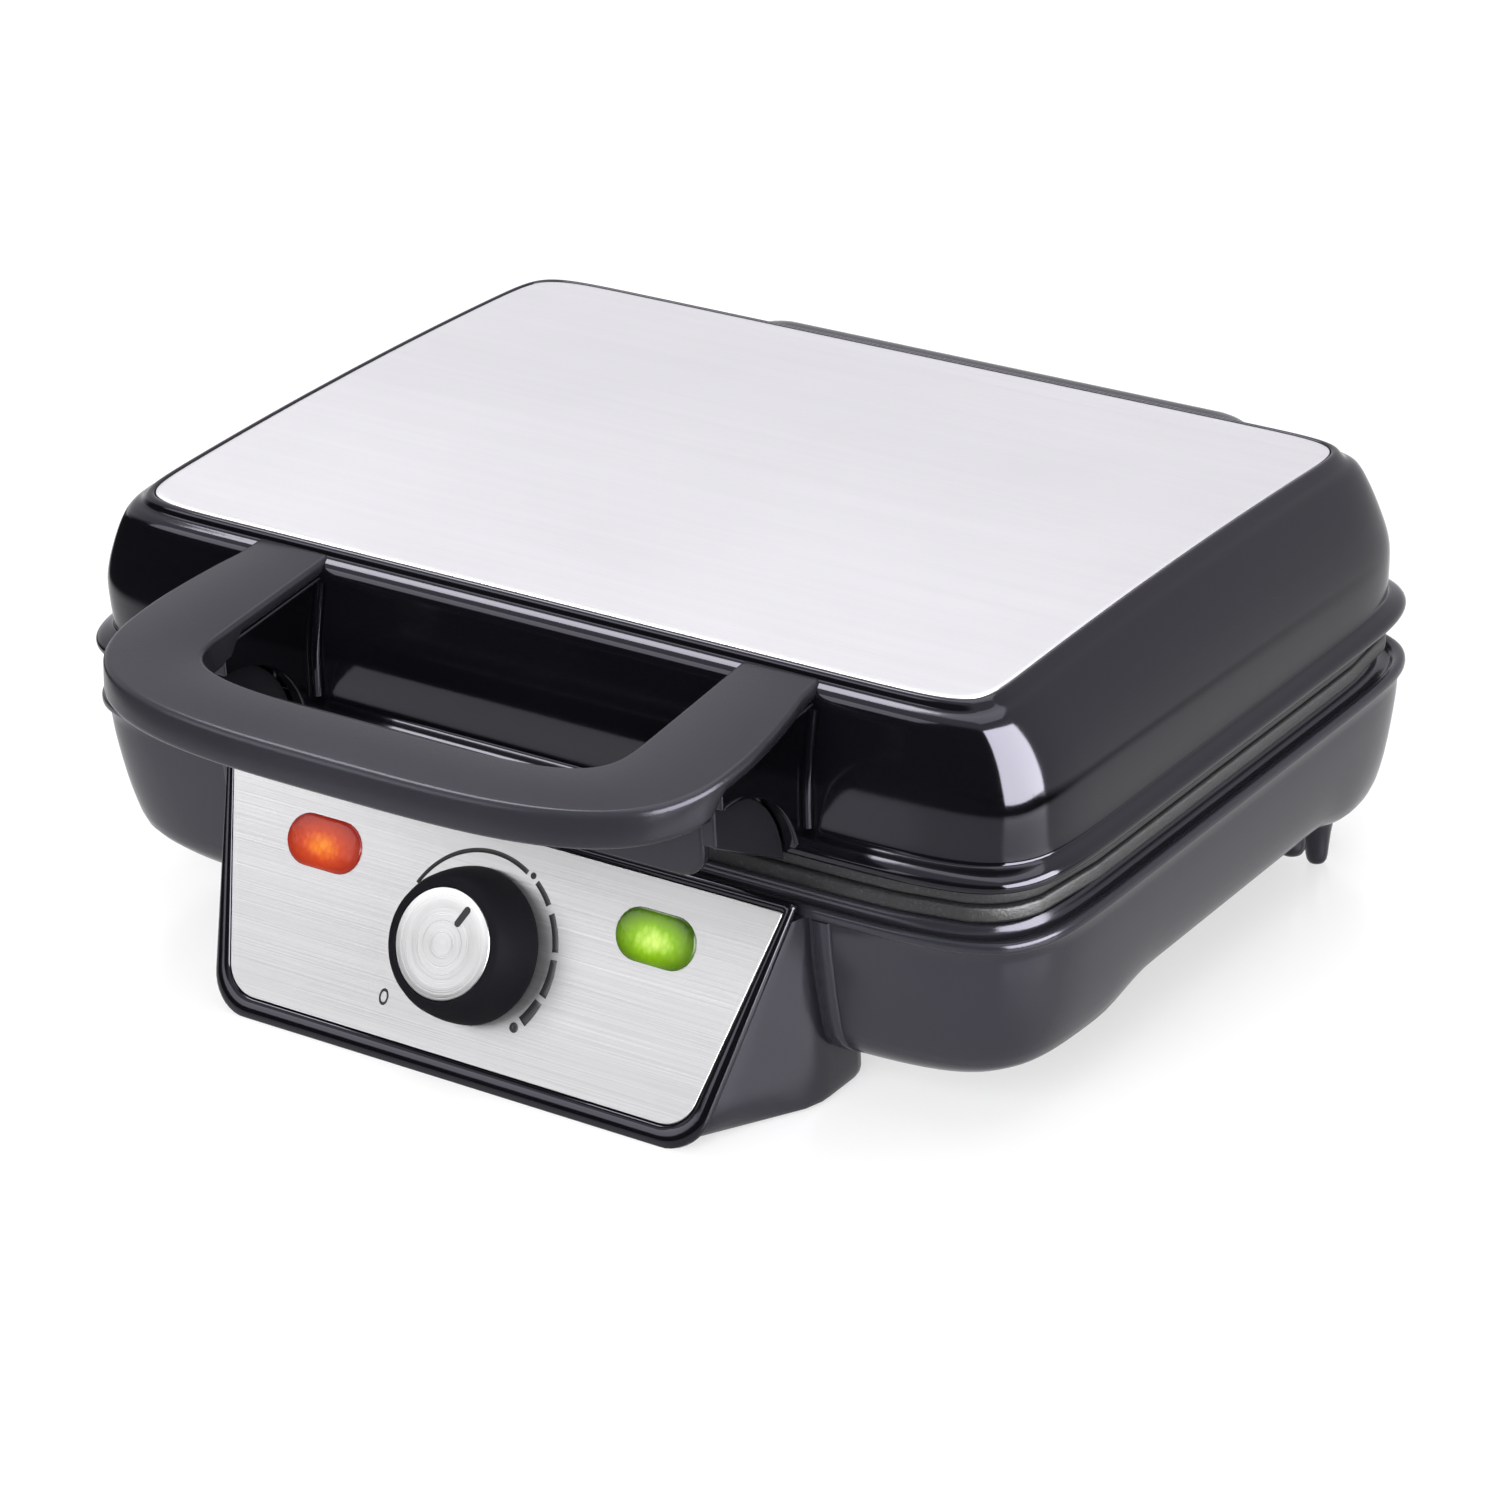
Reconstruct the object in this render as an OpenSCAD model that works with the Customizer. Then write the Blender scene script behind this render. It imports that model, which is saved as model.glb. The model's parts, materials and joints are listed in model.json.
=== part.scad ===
// Waffle maker: clamshell body, arched steel lid top, loop handle, front control box.
// Millimetres. +X is to the user's right, -Y is the front, +Z is up, z = 0 is the table.
// The modules are drawn with y = 0 at the middle of the body, and placed() shifts them
// so that the origin is the middle of the whole footprint.

/* [Body] */
// Width of both rims, over the beads
rim_w = 261; // [235:1:290]
// Depth of both rims, over the beads
rim_d = 184; // [165:1:205]
// Squareness of the rims' outline
rim_square = 10; // [6:1:16]
// Height of the plane between the two cooking plates
part_z = 56.3; // [52:0.1:64]
// Height of each rim's bead
bead_h = 3.4; // [2:0.1:5]
// Distance from the parting plane up to the lid's rim
lid_rim_gap = 4.3; // [3.5:0.1:6]
// Distance from the parting plane down to the base's rim
base_rim_gap = 6.5; // [5:0.1:9]
// Wall of the lid and the base
wall = 2.5; // [1.8:0.1:3.5]
// Clearance under the front of the base
front_clear = 10.5; // [6:0.5:14]
// Extra clearance under the arch between the control box and the rear legs
rear_step = 4; // [2:0.5:8]

/* [Steel top] */
// Width of the steel top
top_w = 225; // [200:1:228]
// Depth of the steel top
top_d = 156; // [140:1:160]
// Height of the steel top's front edge above the table
top_z = 99; // [94:0.5:110]
// Rise of the arch at the middle of the steel top
top_arch = 2; // [1:0.1:5]
// Thickness of the steel sheet
sheet_t = 1; // [0.6:0.1:1.5]

/* [Handle] */
// Reach of the loop in front of the rim
handle_reach = 59.5; // [50:0.5:75]
// Half the width of the loop
loop_half = 79.5; // [74:0.5:88]
// Half the width of the loop's opening
opening_half = 55.5; // [50:0.5:60]
// Depth of the front bar
bar_d = 16.5; // [13:0.5:22]
// Thickness of the loop's band
band_t = 8.5; // [6:0.5:12]
// Slope of the loop down to the front
handle_tilt = 5.7; // [0:0.1:9]
// Drop from the steel top's edge to the loop's root
root_drop = 2; // [1.5:0.5:6]
// Thickness of the webs under the arms
web_t = 3.4; // [2.5:0.1:4]
// Radius of the arches in the webs
arch_r = 24; // [20:0.5:25]
// Thickness of the lower grip
grip_t = 3; // [2:0.5:4]
// Height of the lower grip's front wall
grip_h = 15; // [10:1:17]

/* [Control box] */
// Width of the box where it meets the base
box_w = 154; // [146:1:166]
// Width of the box's front at the table
box_foot_w = 130; // [116:1:140]
// Reach of the box's foot in front of the rim
box_reach = 29; // [24:0.5:36]
// Lean of the panel back from upright
panel_lean = 26.6; // [20:0.1:32]
// Width of the steel panel's top edge
panel_w = 149; // [138:1:150]
// Width of the steel panel's bottom edge
panel_foot_w = 124; // [112:1:126]
// Height of the steel panel along its face
panel_h = 50.5; // [48:0.5:52]
// Distance of the steel panel's bottom edge from the table, along the face
panel_rise = 5; // [4:0.5:6]
// Thickness of the steel panel
panel_t = 0.8; // [0.5:0.1:1.2]
// Width of the frame round the steel panel
frame_w = 2.6; // [1.5:0.1:3]

/* [Knob] */
// Radius of the knob's skirt
knob_r = 17; // [14:0.5:19]
// Radius of the steel cap on the knob
cap_r = 12.4; // [10:0.1:13]
// Height of the knob over the panel
knob_h = 12.5; // [9:0.5:18]
// Height of the knob's axis along the panel
knob_rise = 30.4; // [28:0.1:33]
// Radius of the thermostat's shaft
shaft_r = 3; // [2:0.1:4]

/* [Indicator lamps] */
// Distance of each lamp from the middle
lamp_x = 45; // [40:0.5:52]
// Height of the lamps along the panel
lamp_rise = 42.8; // [38:0.1:45]
// Width of a lamp's lens
lens_w = 20.6; // [14:0.1:22]
// Height of a lamp's lens
lens_h = 11.8; // [9:0.1:14]

/* [Cooking plates] */
// Distance of the plates' edge inside the rims
plate_inset = 3.5; // [3:0.1:6]
// Gap between the closed plates
plate_gap = 0.4; // [0.3:0.1:0.8]
// Thickness of a plate's flange
flange_t = 4; // [3:0.1:4.2]
// Width of one waffle
waffle_w = 106; // [90:1:108]
// Depth of one waffle
waffle_d = 134; // [115:1:138]
// Depth of the waffle's hollow in each plate
hollow = 9; // [7:0.5:11]
// Rows of pegs across one waffle
peg_cols = 4; // [3:1:6]
// Rows of pegs front to back
peg_rows = 5; // [3:1:7]
// Height of a peg
peg_h = 6.5; // [4:0.5:7]
// Thickness of a plate's floor
plate_floor = 3; // [2.5:0.5:4]

/* [Heaters] */
// Radius of the heater tube
heater_r = 3.3; // [2.5:0.1:4]
// Width of the heater's loop, between its centre lines
heater_w = 176; // [140:1:190]
// Depth of the heater's loop, between its centre lines
heater_d = 92; // [70:1:104]
// Bend radius of the heater's loop
heater_bend = 22; // [14:1:30]

/* [Hinge] */
// Distance of the hinge's axis behind the rim
hinge_back = 5.5; // [5:0.1:8]
// Radius of a hinge pin
pin_r = 2.5; // [1.5:0.1:3]
// Running clearance round a hinge pin
pin_clear = 0.06; // [0.02:0.01:0.1]
// Distance of each hinge's middle from the body's middle
hinge_x = 50; // [42:0.5:56]
// Width of a hinge knuckle
knuckle_w = 8; // [6:0.5:10]
// Half the width of the hinge cover
cover_half = 72; // [70:0.5:80]
// Height of the hinge cover's top
cover_z = 86; // [82:0.5:92]
// Reach of the hinge cover behind the rim
cover_reach = 22; // [20:0.5:28]

/* [Feet] */
// Distance of each rear leg from the middle
leg_x = 113; // [95:0.5:115]
// Distance of the rear legs behind the middle of the body
leg_y = 63.5; // [55:0.5:70]
// Radius of a rear leg at its tip
leg_r = 2.6; // [2:0.1:4]
// Radius of a front rubber pad
pad_r = 6; // [4:0.5:8]

/* [Hidden] */
$fn = 48;

fit = 0.2;                     // clearance between pieces that are fixed together
steps = 64;                    // points round an outline
skin = 0.01;                   // thickness of a slice in a hull
rim_a = rim_w / 2;
rim_b = rim_d / 2;
lid_rim_z = part_z + lid_rim_gap;
base_rim_z = part_z - base_rim_gap;
hinge_y = rim_b + hinge_back;
hinge_z = part_z;
front_y = -rim_b - handle_reach;
rear_y = rim_b + cover_reach;
middle_y = (front_y + rear_y) / 2;
top_a = top_w / 2;
top_b = top_d / 2;
arch_radius = (top_b * top_b + top_arch * top_arch) / (2 * top_arch);
arch_centre_z = top_z + top_arch - arch_radius;
box_foot_y = -rim_b - box_reach;
handle_root_z = top_z - root_drop;
handle_root_y = -top_b - 5;
web_out = loop_half - 4;
web_in = opening_half;
arm_t = band_t - 4.5;
bar_start_y = handle_root_y - 34.5;
arch_y = bar_start_y + 1.5;
arch_z = part_z + 2.7;
plate_a = rim_a - plate_inset;
plate_b = rim_b - plate_inset;
pan_inset = 9;
plate_drop = hollow + plate_floor;
heater_drop = plate_drop + heater_r;
reflector_t = 0.8;
reflector_drop = heater_drop + heater_r + 4;
screw_r = 1.6;
screw_head_r = 3;
post_r = 4.5;
post_x = plate_a - pan_inset - 14;
post_y = plate_b - pan_inset - 13.5;
knob_gap = 0.4;
knob_bore_depth = knob_h - 4;
knuckle_r = pin_r + 3;
base_screw_z = base_rim_z - 24;
lid_screw_z = top_z - 8;
lead_x = 25;
lead_r = 2.2;
base_lead_z = base_rim_z - 9;
lid_lead_z = lid_rim_z + 12;
thermostat_r = 11;
block_y = 28;                  // front of the terminal block
gland_r = 7;
gland_y = rim_b - 17.5;        // inner end of the cord gland, behind the reflector
gland_z = front_clear + 16.5;
heel_y = -rim_b + 19;          // where the box's heel leaves the table, under the base
box_wall_back = -4.8;          // just behind the box's front wall
cleat_r = 3.2;
pad_x = box_foot_w / 2 - 14;
pad_y = box_foot_y + 12;
cover_screw_x = box_w / 2 - 18;
cover_screw_y = -rim_b + 6;

// Outline of a rim or a shell: straight sides with a slight bow and round corners
function outline(a, b, square) = [for (i = [0 : steps - 1])
    let (t = 360 * (i + 0.5) / steps, c = cos(t), s = sin(t))
    [sign(c) * a * pow(abs(c), 2 / square), sign(s) * b * pow(abs(s), 2 / square)]];

// Moves the body's middle to its place behind the origin
module placed() { translate([0, -middle_y, 0]) children(); }

// One level of a shell's outline, for a hull
module level(a, b, square, z) { translate([0, 0, z]) linear_extrude(skin) polygon(outline(a, b, square)); }

// A straight-sided block of a shell's outline
module block(a, b, square, z0, z1) {
    translate([0, 0, z0]) linear_extrude(z1 - z0) polygon(outline(a, b, square));
}

// Puts its children in the control panel's own plane: x across, y up the face, z outwards
module on_panel() { translate([0, box_foot_y, 0]) rotate([90 - panel_lean, 0, 0]) children(); }

// Puts its children in the plane of the loop handle's top face, with y = 0 at its root
module on_handle() { translate([0, handle_root_y, handle_root_z]) rotate([handle_tilt, 0, 0]) children(); }

module both_sides() { children(); mirror([1, 0, 0]) children(); }

// The four posts that carry a plate and its reflector
module at_posts() { for (x = [-1, 1], y = [-1, 1]) translate([x * post_x, y * post_y, 0]) children(); }

// The bead round a rim, with its lower edge at z
module bead(z) {
    hull() {
        level(rim_a - 1, rim_b - 1, rim_square, z);
        level(rim_a, rim_b, rim_square, z + bead_h / 2);
        level(rim_a - 1, rim_b - 1, rim_square, z + bead_h - skin);
    }
}

// A rod between two points on one line of X, Y or Z
module rod_x(r, x0, x1) { translate([x0, 0, 0]) rotate([0, 90, 0]) cylinder(r = r, h = x1 - x0); }

// ---------- base ----------

// The lower shell's outer or inner form: inset all round, and raised at the bottom. Each level has its
// share of the height below the rim, and how far its sides and its front are sunk from the rim's bead
module base_form(inset, lift) {
    h = base_rim_z - front_clear;
    low = front_clear + lift;
    difference() {
        hull() {
            for (p = [[0, 1.2, 1.2], [0.34, 2.2, 1.8], [0.52, 3.2, 2.7], [0.69, 4.4, 3.7], [0.83, 6.5, 4.9],
                    [0.91, 10.2, 6.9], [0.97, 15, 10], [1, 26, 20]])
                level(rim_a - p[1] - inset, rim_b - p[2] - inset, rim_square, base_rim_z - p[0] * (h - lift) - skin);
        }
        // the arch in the lower edge, between the control box and the rear legs
        translate([-rim_a, 0, 0]) rotate([90, 0, 90]) linear_extrude(rim_w)
            polygon([[-52, 0], [-52, low], [-45, low + rear_step * 0.2], [-37, low + rear_step * 0.75],
                [-30, low + rear_step], [43, low + rear_step], [50, low + rear_step * 0.75],
                [56, low + rear_step * 0.2], [61, low], [61, 0]]);
    }
}

module base_ears() {
    both_sides() translate([hinge_x + knuckle_w / 2 + 0.4, 0, 0]) difference() {
        union() {
            translate([0, rim_b - 6, base_rim_z - 4]) cube([knuckle_w, hinge_back + 6, 3.8]);
            translate([0, plate_b + 0.6, base_rim_z - 1])
                cube([knuckle_w, hinge_y - plate_b - 0.6, hinge_z - base_rim_z + 1]);
            translate([0, hinge_y, hinge_z]) rod_x(knuckle_r, 0, knuckle_w);
        }
        translate([0, hinge_y, hinge_z]) rod_x(pin_r + pin_clear, -1, knuckle_w + 1);
    }
}

module base_housing() {
    color([0.13, 0.13, 0.14]) placed() {
        difference() {
            union() {
                base_form(0, 0);
                bead(base_rim_z - bead_h);
            }
            difference() {
                base_form(wall, wall);
                at_posts() cylinder(r = post_r, h = part_z - reflector_drop - reflector_t);
            }
            translate([0, 0, base_rim_z - bead_h - 1]) block(rim_a - 6, rim_b - 6, rim_square, 0, bead_h + 2);
            // the way through to the control box
            translate([-box_w / 2 + 12, -rim_b - 1, front_clear + wall + 4])
                cube([box_w - 24, 30, base_rim_z - front_clear - wall - 14]);
            // the cord gland's seat
            translate([0, gland_y - 2, gland_z]) rotate([-90, 0, 0]) cylinder(r = gland_r + fit, h = 30);
            // the screws come up through the posts, with their heads sunk
            at_posts() {
                cylinder(r = screw_r + 0.1, h = part_z);
                cylinder(r = screw_head_r + 0.3, h = base_screw_z);
            }
            // hole for the lid's lead
            translate([-lead_x, rim_b - 14, base_lead_z]) rotate([-90, 0, 0]) cylinder(r = lead_r + fit, h = 20);
        }
        base_ears();
    }
}

// A tapered leg under each rear corner, with a cleat in front of it that the cord winds round
module rear_legs() {
    color([0.11, 0.11, 0.12]) placed() both_sides() difference() {
        union() {
            translate([leg_x, leg_y, leg_r]) cylinder(r1 = leg_r, r2 = leg_r + 1.6, h = front_clear + 4 - leg_r);
            translate([leg_x, leg_y, leg_r]) sphere(r = leg_r);
            translate([leg_x, leg_y, 0]) cylinder(r = leg_r * 0.6, h = leg_r);
            translate([leg_x - 1.5, leg_y - 9, front_clear - 0.3]) {
                sphere(r = cleat_r);
                cylinder(r = cleat_r, h = 6);
            }
        }
        base_form(-0.05, -0.05);
    }
}

module panel_outline(grow) {
    half_top = panel_w / 2 + grow;
    half_foot = panel_foot_w / 2 + grow;
    r = 8;
    top = panel_rise + panel_h + grow;
    low = panel_rise - grow;
    hull() {
        translate([-half_top, top - 1]) square([half_top * 2, 1]);
        both_sides() translate([half_foot - r, low + r]) circle(r = r + 0.001);
    }
}

// The trapezoid of the box's front, lowest at the table
module box_face(inset) {
    half_top = box_w / 2 - inset;
    half_foot = box_foot_w / 2 - inset;
    top = panel_rise + panel_h + frame_w - inset;
    polygon([[-half_top, top], [-half_foot, inset], [half_foot, inset], [half_top, top]]);
}

// The solid form of the control box: its sides part from the front's slant, and its heel curves up under the base
module box_form(inset, floor) {
    side = box_w / 2 - inset;
    hull() {
        on_panel() translate([0, 0, -2 - inset]) linear_extrude(skin) box_face(inset + 1.5);
        translate([-side, -rim_b + 1, floor]) cube([side * 2, 1, base_rim_z - bead_h - floor - inset]);
        translate([-side, heel_y - 1 - inset, floor]) cube([side * 2, 1, 1]);
        translate([-side, heel_y + 6 - inset, front_clear + 2]) cube([side * 2, 1, 2]);
    }
}

// Outline of the cover under the box
module cover_outline(grow) {
    foot = box_foot_w / 2 - 8 + grow;
    side = box_w / 2 - wall - 1 + grow;
    polygon([[-foot, box_foot_y + 8 - grow], [foot, box_foot_y + 8 - grow], [side - 1, -rim_b + 3],
        [side, -rim_b + 12 + grow], [-side, -rim_b + 12 + grow], [-side + 1, -rim_b + 3]]);
}

module control_box() {
    color([0.12, 0.12, 0.13]) placed() difference() {
        intersection() {
            union() {
                box_form(0, 1);
                on_panel() translate([0, 0, -4]) linear_extrude(2.5) box_face(0.2);
            }
            translate([-rim_a, -rim_b - 60, 0.8]) cube([rim_w, 100, base_rim_z - 0.8 - fit]);
        }
        base_form(-fit, -fit);
        block(rim_a + fit, rim_b + fit, rim_square, base_rim_z - bead_h - fit, part_z);
        difference() {
            box_form(wall, -1);
            on_panel() translate([-box_w / 2, 0, -4.5]) cube([box_w, 80, 20]);
        }
        translate([-box_w / 2 + 12, -rim_b - 4, front_clear + wall + 4])
            cube([box_w - 24, 30, base_rim_z - front_clear - wall - 14]);
        linear_extrude(3.4 + fit) cover_outline(fit);
        both_sides() translate([pad_x, pad_y, 0]) cylinder(r = pad_r + fit, h = 2.4 + fit);
        // openings behind the steel panel
        on_panel() {
            translate([0, knob_rise, -8]) cylinder(r = shaft_r + 3, h = 12);
            both_sides() translate([lamp_x, lamp_rise, -8]) cylinder(r = lens_h / 2 - 1.4, h = 12);
        }
    }
}

module box_cover() {
    color([0.16, 0.16, 0.17]) placed() difference() {
        translate([0, 0, 0.8]) linear_extrude(2.6) cover_outline(0);
        both_sides() {
            translate([pad_x, pad_y, 0]) cylinder(r = pad_r + fit, h = 2.4);
            translate([cover_screw_x, cover_screw_y, 0]) cylinder(r = screw_r + 0.1, h = 4);
            translate([cover_screw_x, cover_screw_y, 0]) cylinder(r = screw_head_r + 0.3, h = 2.9);
        }
    }
}

module front_pads() {
    color([0.08, 0.08, 0.08]) placed() both_sides() translate([pad_x, pad_y, 0]) cylinder(r = pad_r, h = 2.4);
}

module panel_bezel() {
    color([0.05, 0.05, 0.055]) placed() intersection() {
        on_panel() difference() {
            translate([0, 0, -1.4]) linear_extrude(1.6) {
                box_face(0.2);
                panel_outline(frame_w - 0.2);
            }
            translate([0, 0, -1.4 - 1]) linear_extrude(4) panel_outline(fit);
        }
        translate([-rim_a, box_foot_y - 20, 0.1]) cube([rim_w, 80, part_z]);
    }
}

module control_panel() {
    color([0.75, 0.75, 0.76]) placed() on_panel() difference() {
        translate([0, 0, -panel_t - 0.2]) linear_extrude(panel_t) panel_outline(0);
        translate([0, knob_rise, -5]) cylinder(r = shaft_r + 1, h = 10);
        both_sides() translate([lamp_x, lamp_rise, -5]) lens_prism(fit, 10);
    }
}

module lens_outline(grow) {
    r = lens_h / 2 + grow;
    half = (lens_w - lens_h) / 2;
    both_sides() translate([half, 0]) circle(r = r);
    translate([-half, -r]) square([half * 2, r * 2]);
}

module lens_prism(grow, height) { linear_extrude(height) lens_outline(grow); }

// A lens with a hollow neck that passes through the box's wall
module lens() {
    translate([0, 0, -1.2]) lens_prism(0, 2.4);
    translate([0, 0, box_wall_back]) difference() {
        cylinder(r = lens_h / 2 - 1.6, h = -box_wall_back - 1.2);
        translate([0, 0, -1]) cylinder(r = 3, h = -box_wall_back);
    }
}

module power_lens() { color([0.95, 0.3, 0.15]) placed() on_panel() translate([-lamp_x, lamp_rise, 0]) lens(); }

module ready_lens() { color([0.5, 0.85, 0.15]) placed() on_panel() translate([lamp_x, lamp_rise, 0]) lens(); }

module neon_lamps() {
    color([0.95, 0.75, 0.6]) placed() on_panel() both_sides()
        translate([lamp_x, lamp_rise, box_wall_back - 8]) cylinder(r = 2.6, h = 10);
}

module lamp_holders() {
    color([0.85, 0.85, 0.82]) placed() on_panel() both_sides() translate([lamp_x, lamp_rise, box_wall_back - 8])
        difference() {
            cylinder(r = 6, h = 8);
            translate([0, 0, -1]) cylinder(r = 2.65, h = 10);
        }
}

module thermostat_bracket() {
    color([0.7, 0.7, 0.7]) placed() on_panel() difference() {
        translate([-16, knob_rise - 9, box_wall_back - 1]) cube([32, 18, 1]);
        translate([0, knob_rise, box_wall_back - 2]) cylinder(r = shaft_r + 1, h = 3);
    }
}

module thermostat() {
    color([0.82, 0.8, 0.74]) placed() on_panel() translate([0, knob_rise, box_wall_back - 15]) difference() {
        union() {
            cylinder(r = thermostat_r, h = 14);
            both_sides() translate([thermostat_r - 2, -3, 3]) cube([7, 6, 0.8]);
        }
        translate([0, 0, 4]) cylinder(r = shaft_r + 0.06, h = 12);
    }
}

// ---------- knob ----------

module knob_shaft() {
    color([0.75, 0.7, 0.5]) placed() on_panel() translate([0, knob_rise, box_wall_back - 10])
        cylinder(r = shaft_r, h = 10 - box_wall_back + knob_bore_depth - 0.5);
}

module knob() {
    color([0.07, 0.07, 0.075]) placed() on_panel() translate([0, knob_rise, 0]) difference() {
        union() {
            translate([0, 0, knob_gap]) cylinder(r1 = knob_r, r2 = knob_r - 1, h = 4);
            translate([0, 0, knob_gap + 4]) cylinder(r1 = knob_r - 1, r2 = cap_r + 1.4, h = knob_h - knob_gap - 4);
        }
        // the skirt is hollow round its hub
        difference() {
            translate([0, 0, -1]) cylinder(r = knob_r - 3.5, h = knob_h - 2.5);
            cylinder(r = shaft_r + 3, h = knob_h);
        }
        translate([0, 0, -1]) cylinder(r = shaft_r + 0.03, h = knob_bore_depth + 1);
        translate([0, 0, knob_h - 1]) cylinder(r = cap_r + 0.1, h = 2);
    }
}

module knob_cap() {
    color([0.78, 0.78, 0.79]) placed() on_panel() translate([0, knob_rise, knob_h - 1]) difference() {
        cylinder(r = cap_r, h = 1);
        rotate(-28.5) translate([-0.7, cap_r * 0.4, 0.5]) cube([1.4, cap_r * 0.45, 1]);
    }
}

// ---------- cooking plates, heaters and reflectors ----------

// Runs its children for the upper half as they stand, or mirrored for the lower half
module half(side) { translate([0, 0, part_z]) scale_z(side) children(); }

module scale_z(side) { if (side > 0) children(); else mirror([0, 0, 1]) children(); }

// One cooking plate, drawn upwards from the parting plane
module plate() {
    difference() {
        union() {
            block(plate_a, plate_b, rim_square, plate_gap / 2, flange_t);
            block(plate_a - pan_inset, plate_b - pan_inset, rim_square, flange_t, plate_drop);
            // bosses that take the screws
            at_posts() translate([0, 0, plate_drop]) cylinder(r = post_r, h = reflector_drop - plate_drop);
        }
        both_sides() translate([3, -waffle_d / 2, -1]) cube([waffle_w, waffle_d, hollow + 1]);
        at_posts() translate([0, 0, plate_drop + 1]) cylinder(r = screw_r, h = reflector_drop);
    }
    // the pegs that press the squares into the waffles
    pitch_x = waffle_w / peg_cols;
    pitch_y = waffle_d / peg_rows;
    both_sides() for (i = [0 : peg_cols - 1], j = [0 : peg_rows - 1])
        translate([3 + pitch_x * (i + 0.18), -waffle_d / 2 + pitch_y * (j + 0.18), hollow - peg_h])
            cube([pitch_x * 0.64, pitch_y * 0.64, peg_h]);
}

// The heater's bent tube, drawn upwards from the parting plane, open at the back
module heater() {
    x = heater_w / 2;
    y = heater_d / 2;
    translate([0, 0, heater_drop]) {
        translate([0, -y, 0]) rod_x(heater_r, -(x - heater_bend), x - heater_bend);
        both_sides() {
            translate([x - heater_bend, -y + heater_bend, 0]) rotate([0, 0, -90])
                rotate_extrude(angle = 90) translate([heater_bend, 0]) circle(r = heater_r);
            translate([x, -y + heater_bend, 0]) rotate([-90, 0, 0])
                cylinder(r = heater_r, h = heater_d - heater_bend * 2);
            translate([x - heater_bend, y - heater_bend, 0])
                rotate_extrude(angle = 90) translate([heater_bend, 0]) circle(r = heater_r);
            translate([0, y, 0]) rod_x(heater_r, 16, x - heater_bend);
            translate([0, y, 0]) rod_x(1.2, 8, 16);
        }
    }
}

// The polished pan behind a heater
module reflector() {
    difference() {
        block(post_x + 8, post_y + 8, rim_square, reflector_drop, reflector_drop + reflector_t);
        at_posts() translate([0, 0, reflector_drop - 1]) cylinder(r = screw_r + 0.2, h = 3);
        translate([0, heater_d / 2, reflector_drop - 1]) cylinder(r = 6, h = 3);
    }
}

module lower_plate() { color([0.16, 0.16, 0.165]) placed() half(-1) plate(); }

module lower_heater() { color([0.35, 0.34, 0.33]) placed() half(-1) heater(); }

module lower_reflector() { color([0.8, 0.8, 0.8]) placed() half(-1) reflector(); }

module upper_plate() { color([0.16, 0.16, 0.165]) placed() half(1) plate(); }

module upper_heater() { color([0.35, 0.34, 0.33]) placed() half(1) heater(); }

module upper_reflector() { color([0.8, 0.8, 0.8]) placed() half(1) reflector(); }

module capillary_bulb() {
    color([0.72, 0.45, 0.28]) placed() translate([0, -8, part_z - plate_drop - 1.6]) rotate([90, 0, 0])
        cylinder(r = 1.6, h = 30);
}

module thermal_fuse() {
    color([0.8, 0.78, 0.7]) placed() translate([0, 12, part_z - plate_drop - 2.2]) rod_x(2.2, -9, 9);
}

module terminal_block() {
    color([0.9, 0.9, 0.86]) placed() translate([0, block_y, front_clear + rear_step + wall]) difference() {
        translate([-14, 0, 0]) cube([28, 12, 9]);
        for (x = [-9, 0, 9]) translate([x, -1, 4.5]) rotate([-90, 0, 0]) cylinder(r = 1.8, h = 14);
    }
}

module cord_gland() {
    color([0.09, 0.09, 0.09]) placed() translate([0, gland_y, gland_z]) rotate([-90, 0, 0]) difference() {
        union() {
            cylinder(r = gland_r, h = 16);
            translate([0, 0, 16]) cylinder(r1 = gland_r, r2 = gland_r - 1.5, h = 4);
        }
        translate([0, 0, -1]) cylinder(r = 3.4, h = 22);
    }
}

module base_wiring() {
    z = front_clear + rear_step + wall + 1.5;
    color([0.85, 0.82, 0.75]) placed() {
        // leads from the terminal block forward to the thermostat
        for (x = [-9, 9]) translate([x, block_y - 0.5, z]) rotate([90, 0, 0])
            cylinder(r = 1.3, h = block_y - 0.5 + rim_b - 22);
        // the lid's lead, from the rear wall up to the hinge's axis
        translate([-lead_x, rim_b - 14, base_lead_z]) rotate([-90, 0, 0]) cylinder(r = lead_r, h = 14 + hinge_back);
        translate([-lead_x, hinge_y, base_lead_z]) sphere(r = lead_r);
        translate([-lead_x, hinge_y, base_lead_z]) cylinder(r = lead_r, h = hinge_z - base_lead_z);
        translate([0, hinge_y, hinge_z]) rod_x(lead_r, -lead_x, -0.2);
        translate([-lead_x, hinge_y, hinge_z]) sphere(r = lead_r);
    }
}

module screw(shank) {
    cylinder(r = screw_head_r, h = 2);
    translate([0, 0, 2]) cylinder(r = screw_r - 0.05, h = shank);
}

module base_screws() {
    color([0.6, 0.6, 0.6]) placed() {
        at_posts() translate([0, 0, base_screw_z - 2]) screw(part_z - plate_drop - 2 - base_screw_z);
        both_sides() translate([cover_screw_x, cover_screw_y, 0.9]) screw(7);
    }
}

// ---------- hinge ----------

module hinge_pins() {
    length = knuckle_w * 2 + 0.4;
    color([0.75, 0.75, 0.75]) placed() both_sides() translate([0, hinge_y, hinge_z]) {
        rod_x(pin_r, hinge_x - knuckle_w / 2 - 0.6, hinge_x - knuckle_w / 2 + length + 0.3);
        rod_x(pin_r + 1.2, hinge_x - knuckle_w / 2 + length + 0.3, hinge_x - knuckle_w / 2 + length + 1.8);
    }
}

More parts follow.
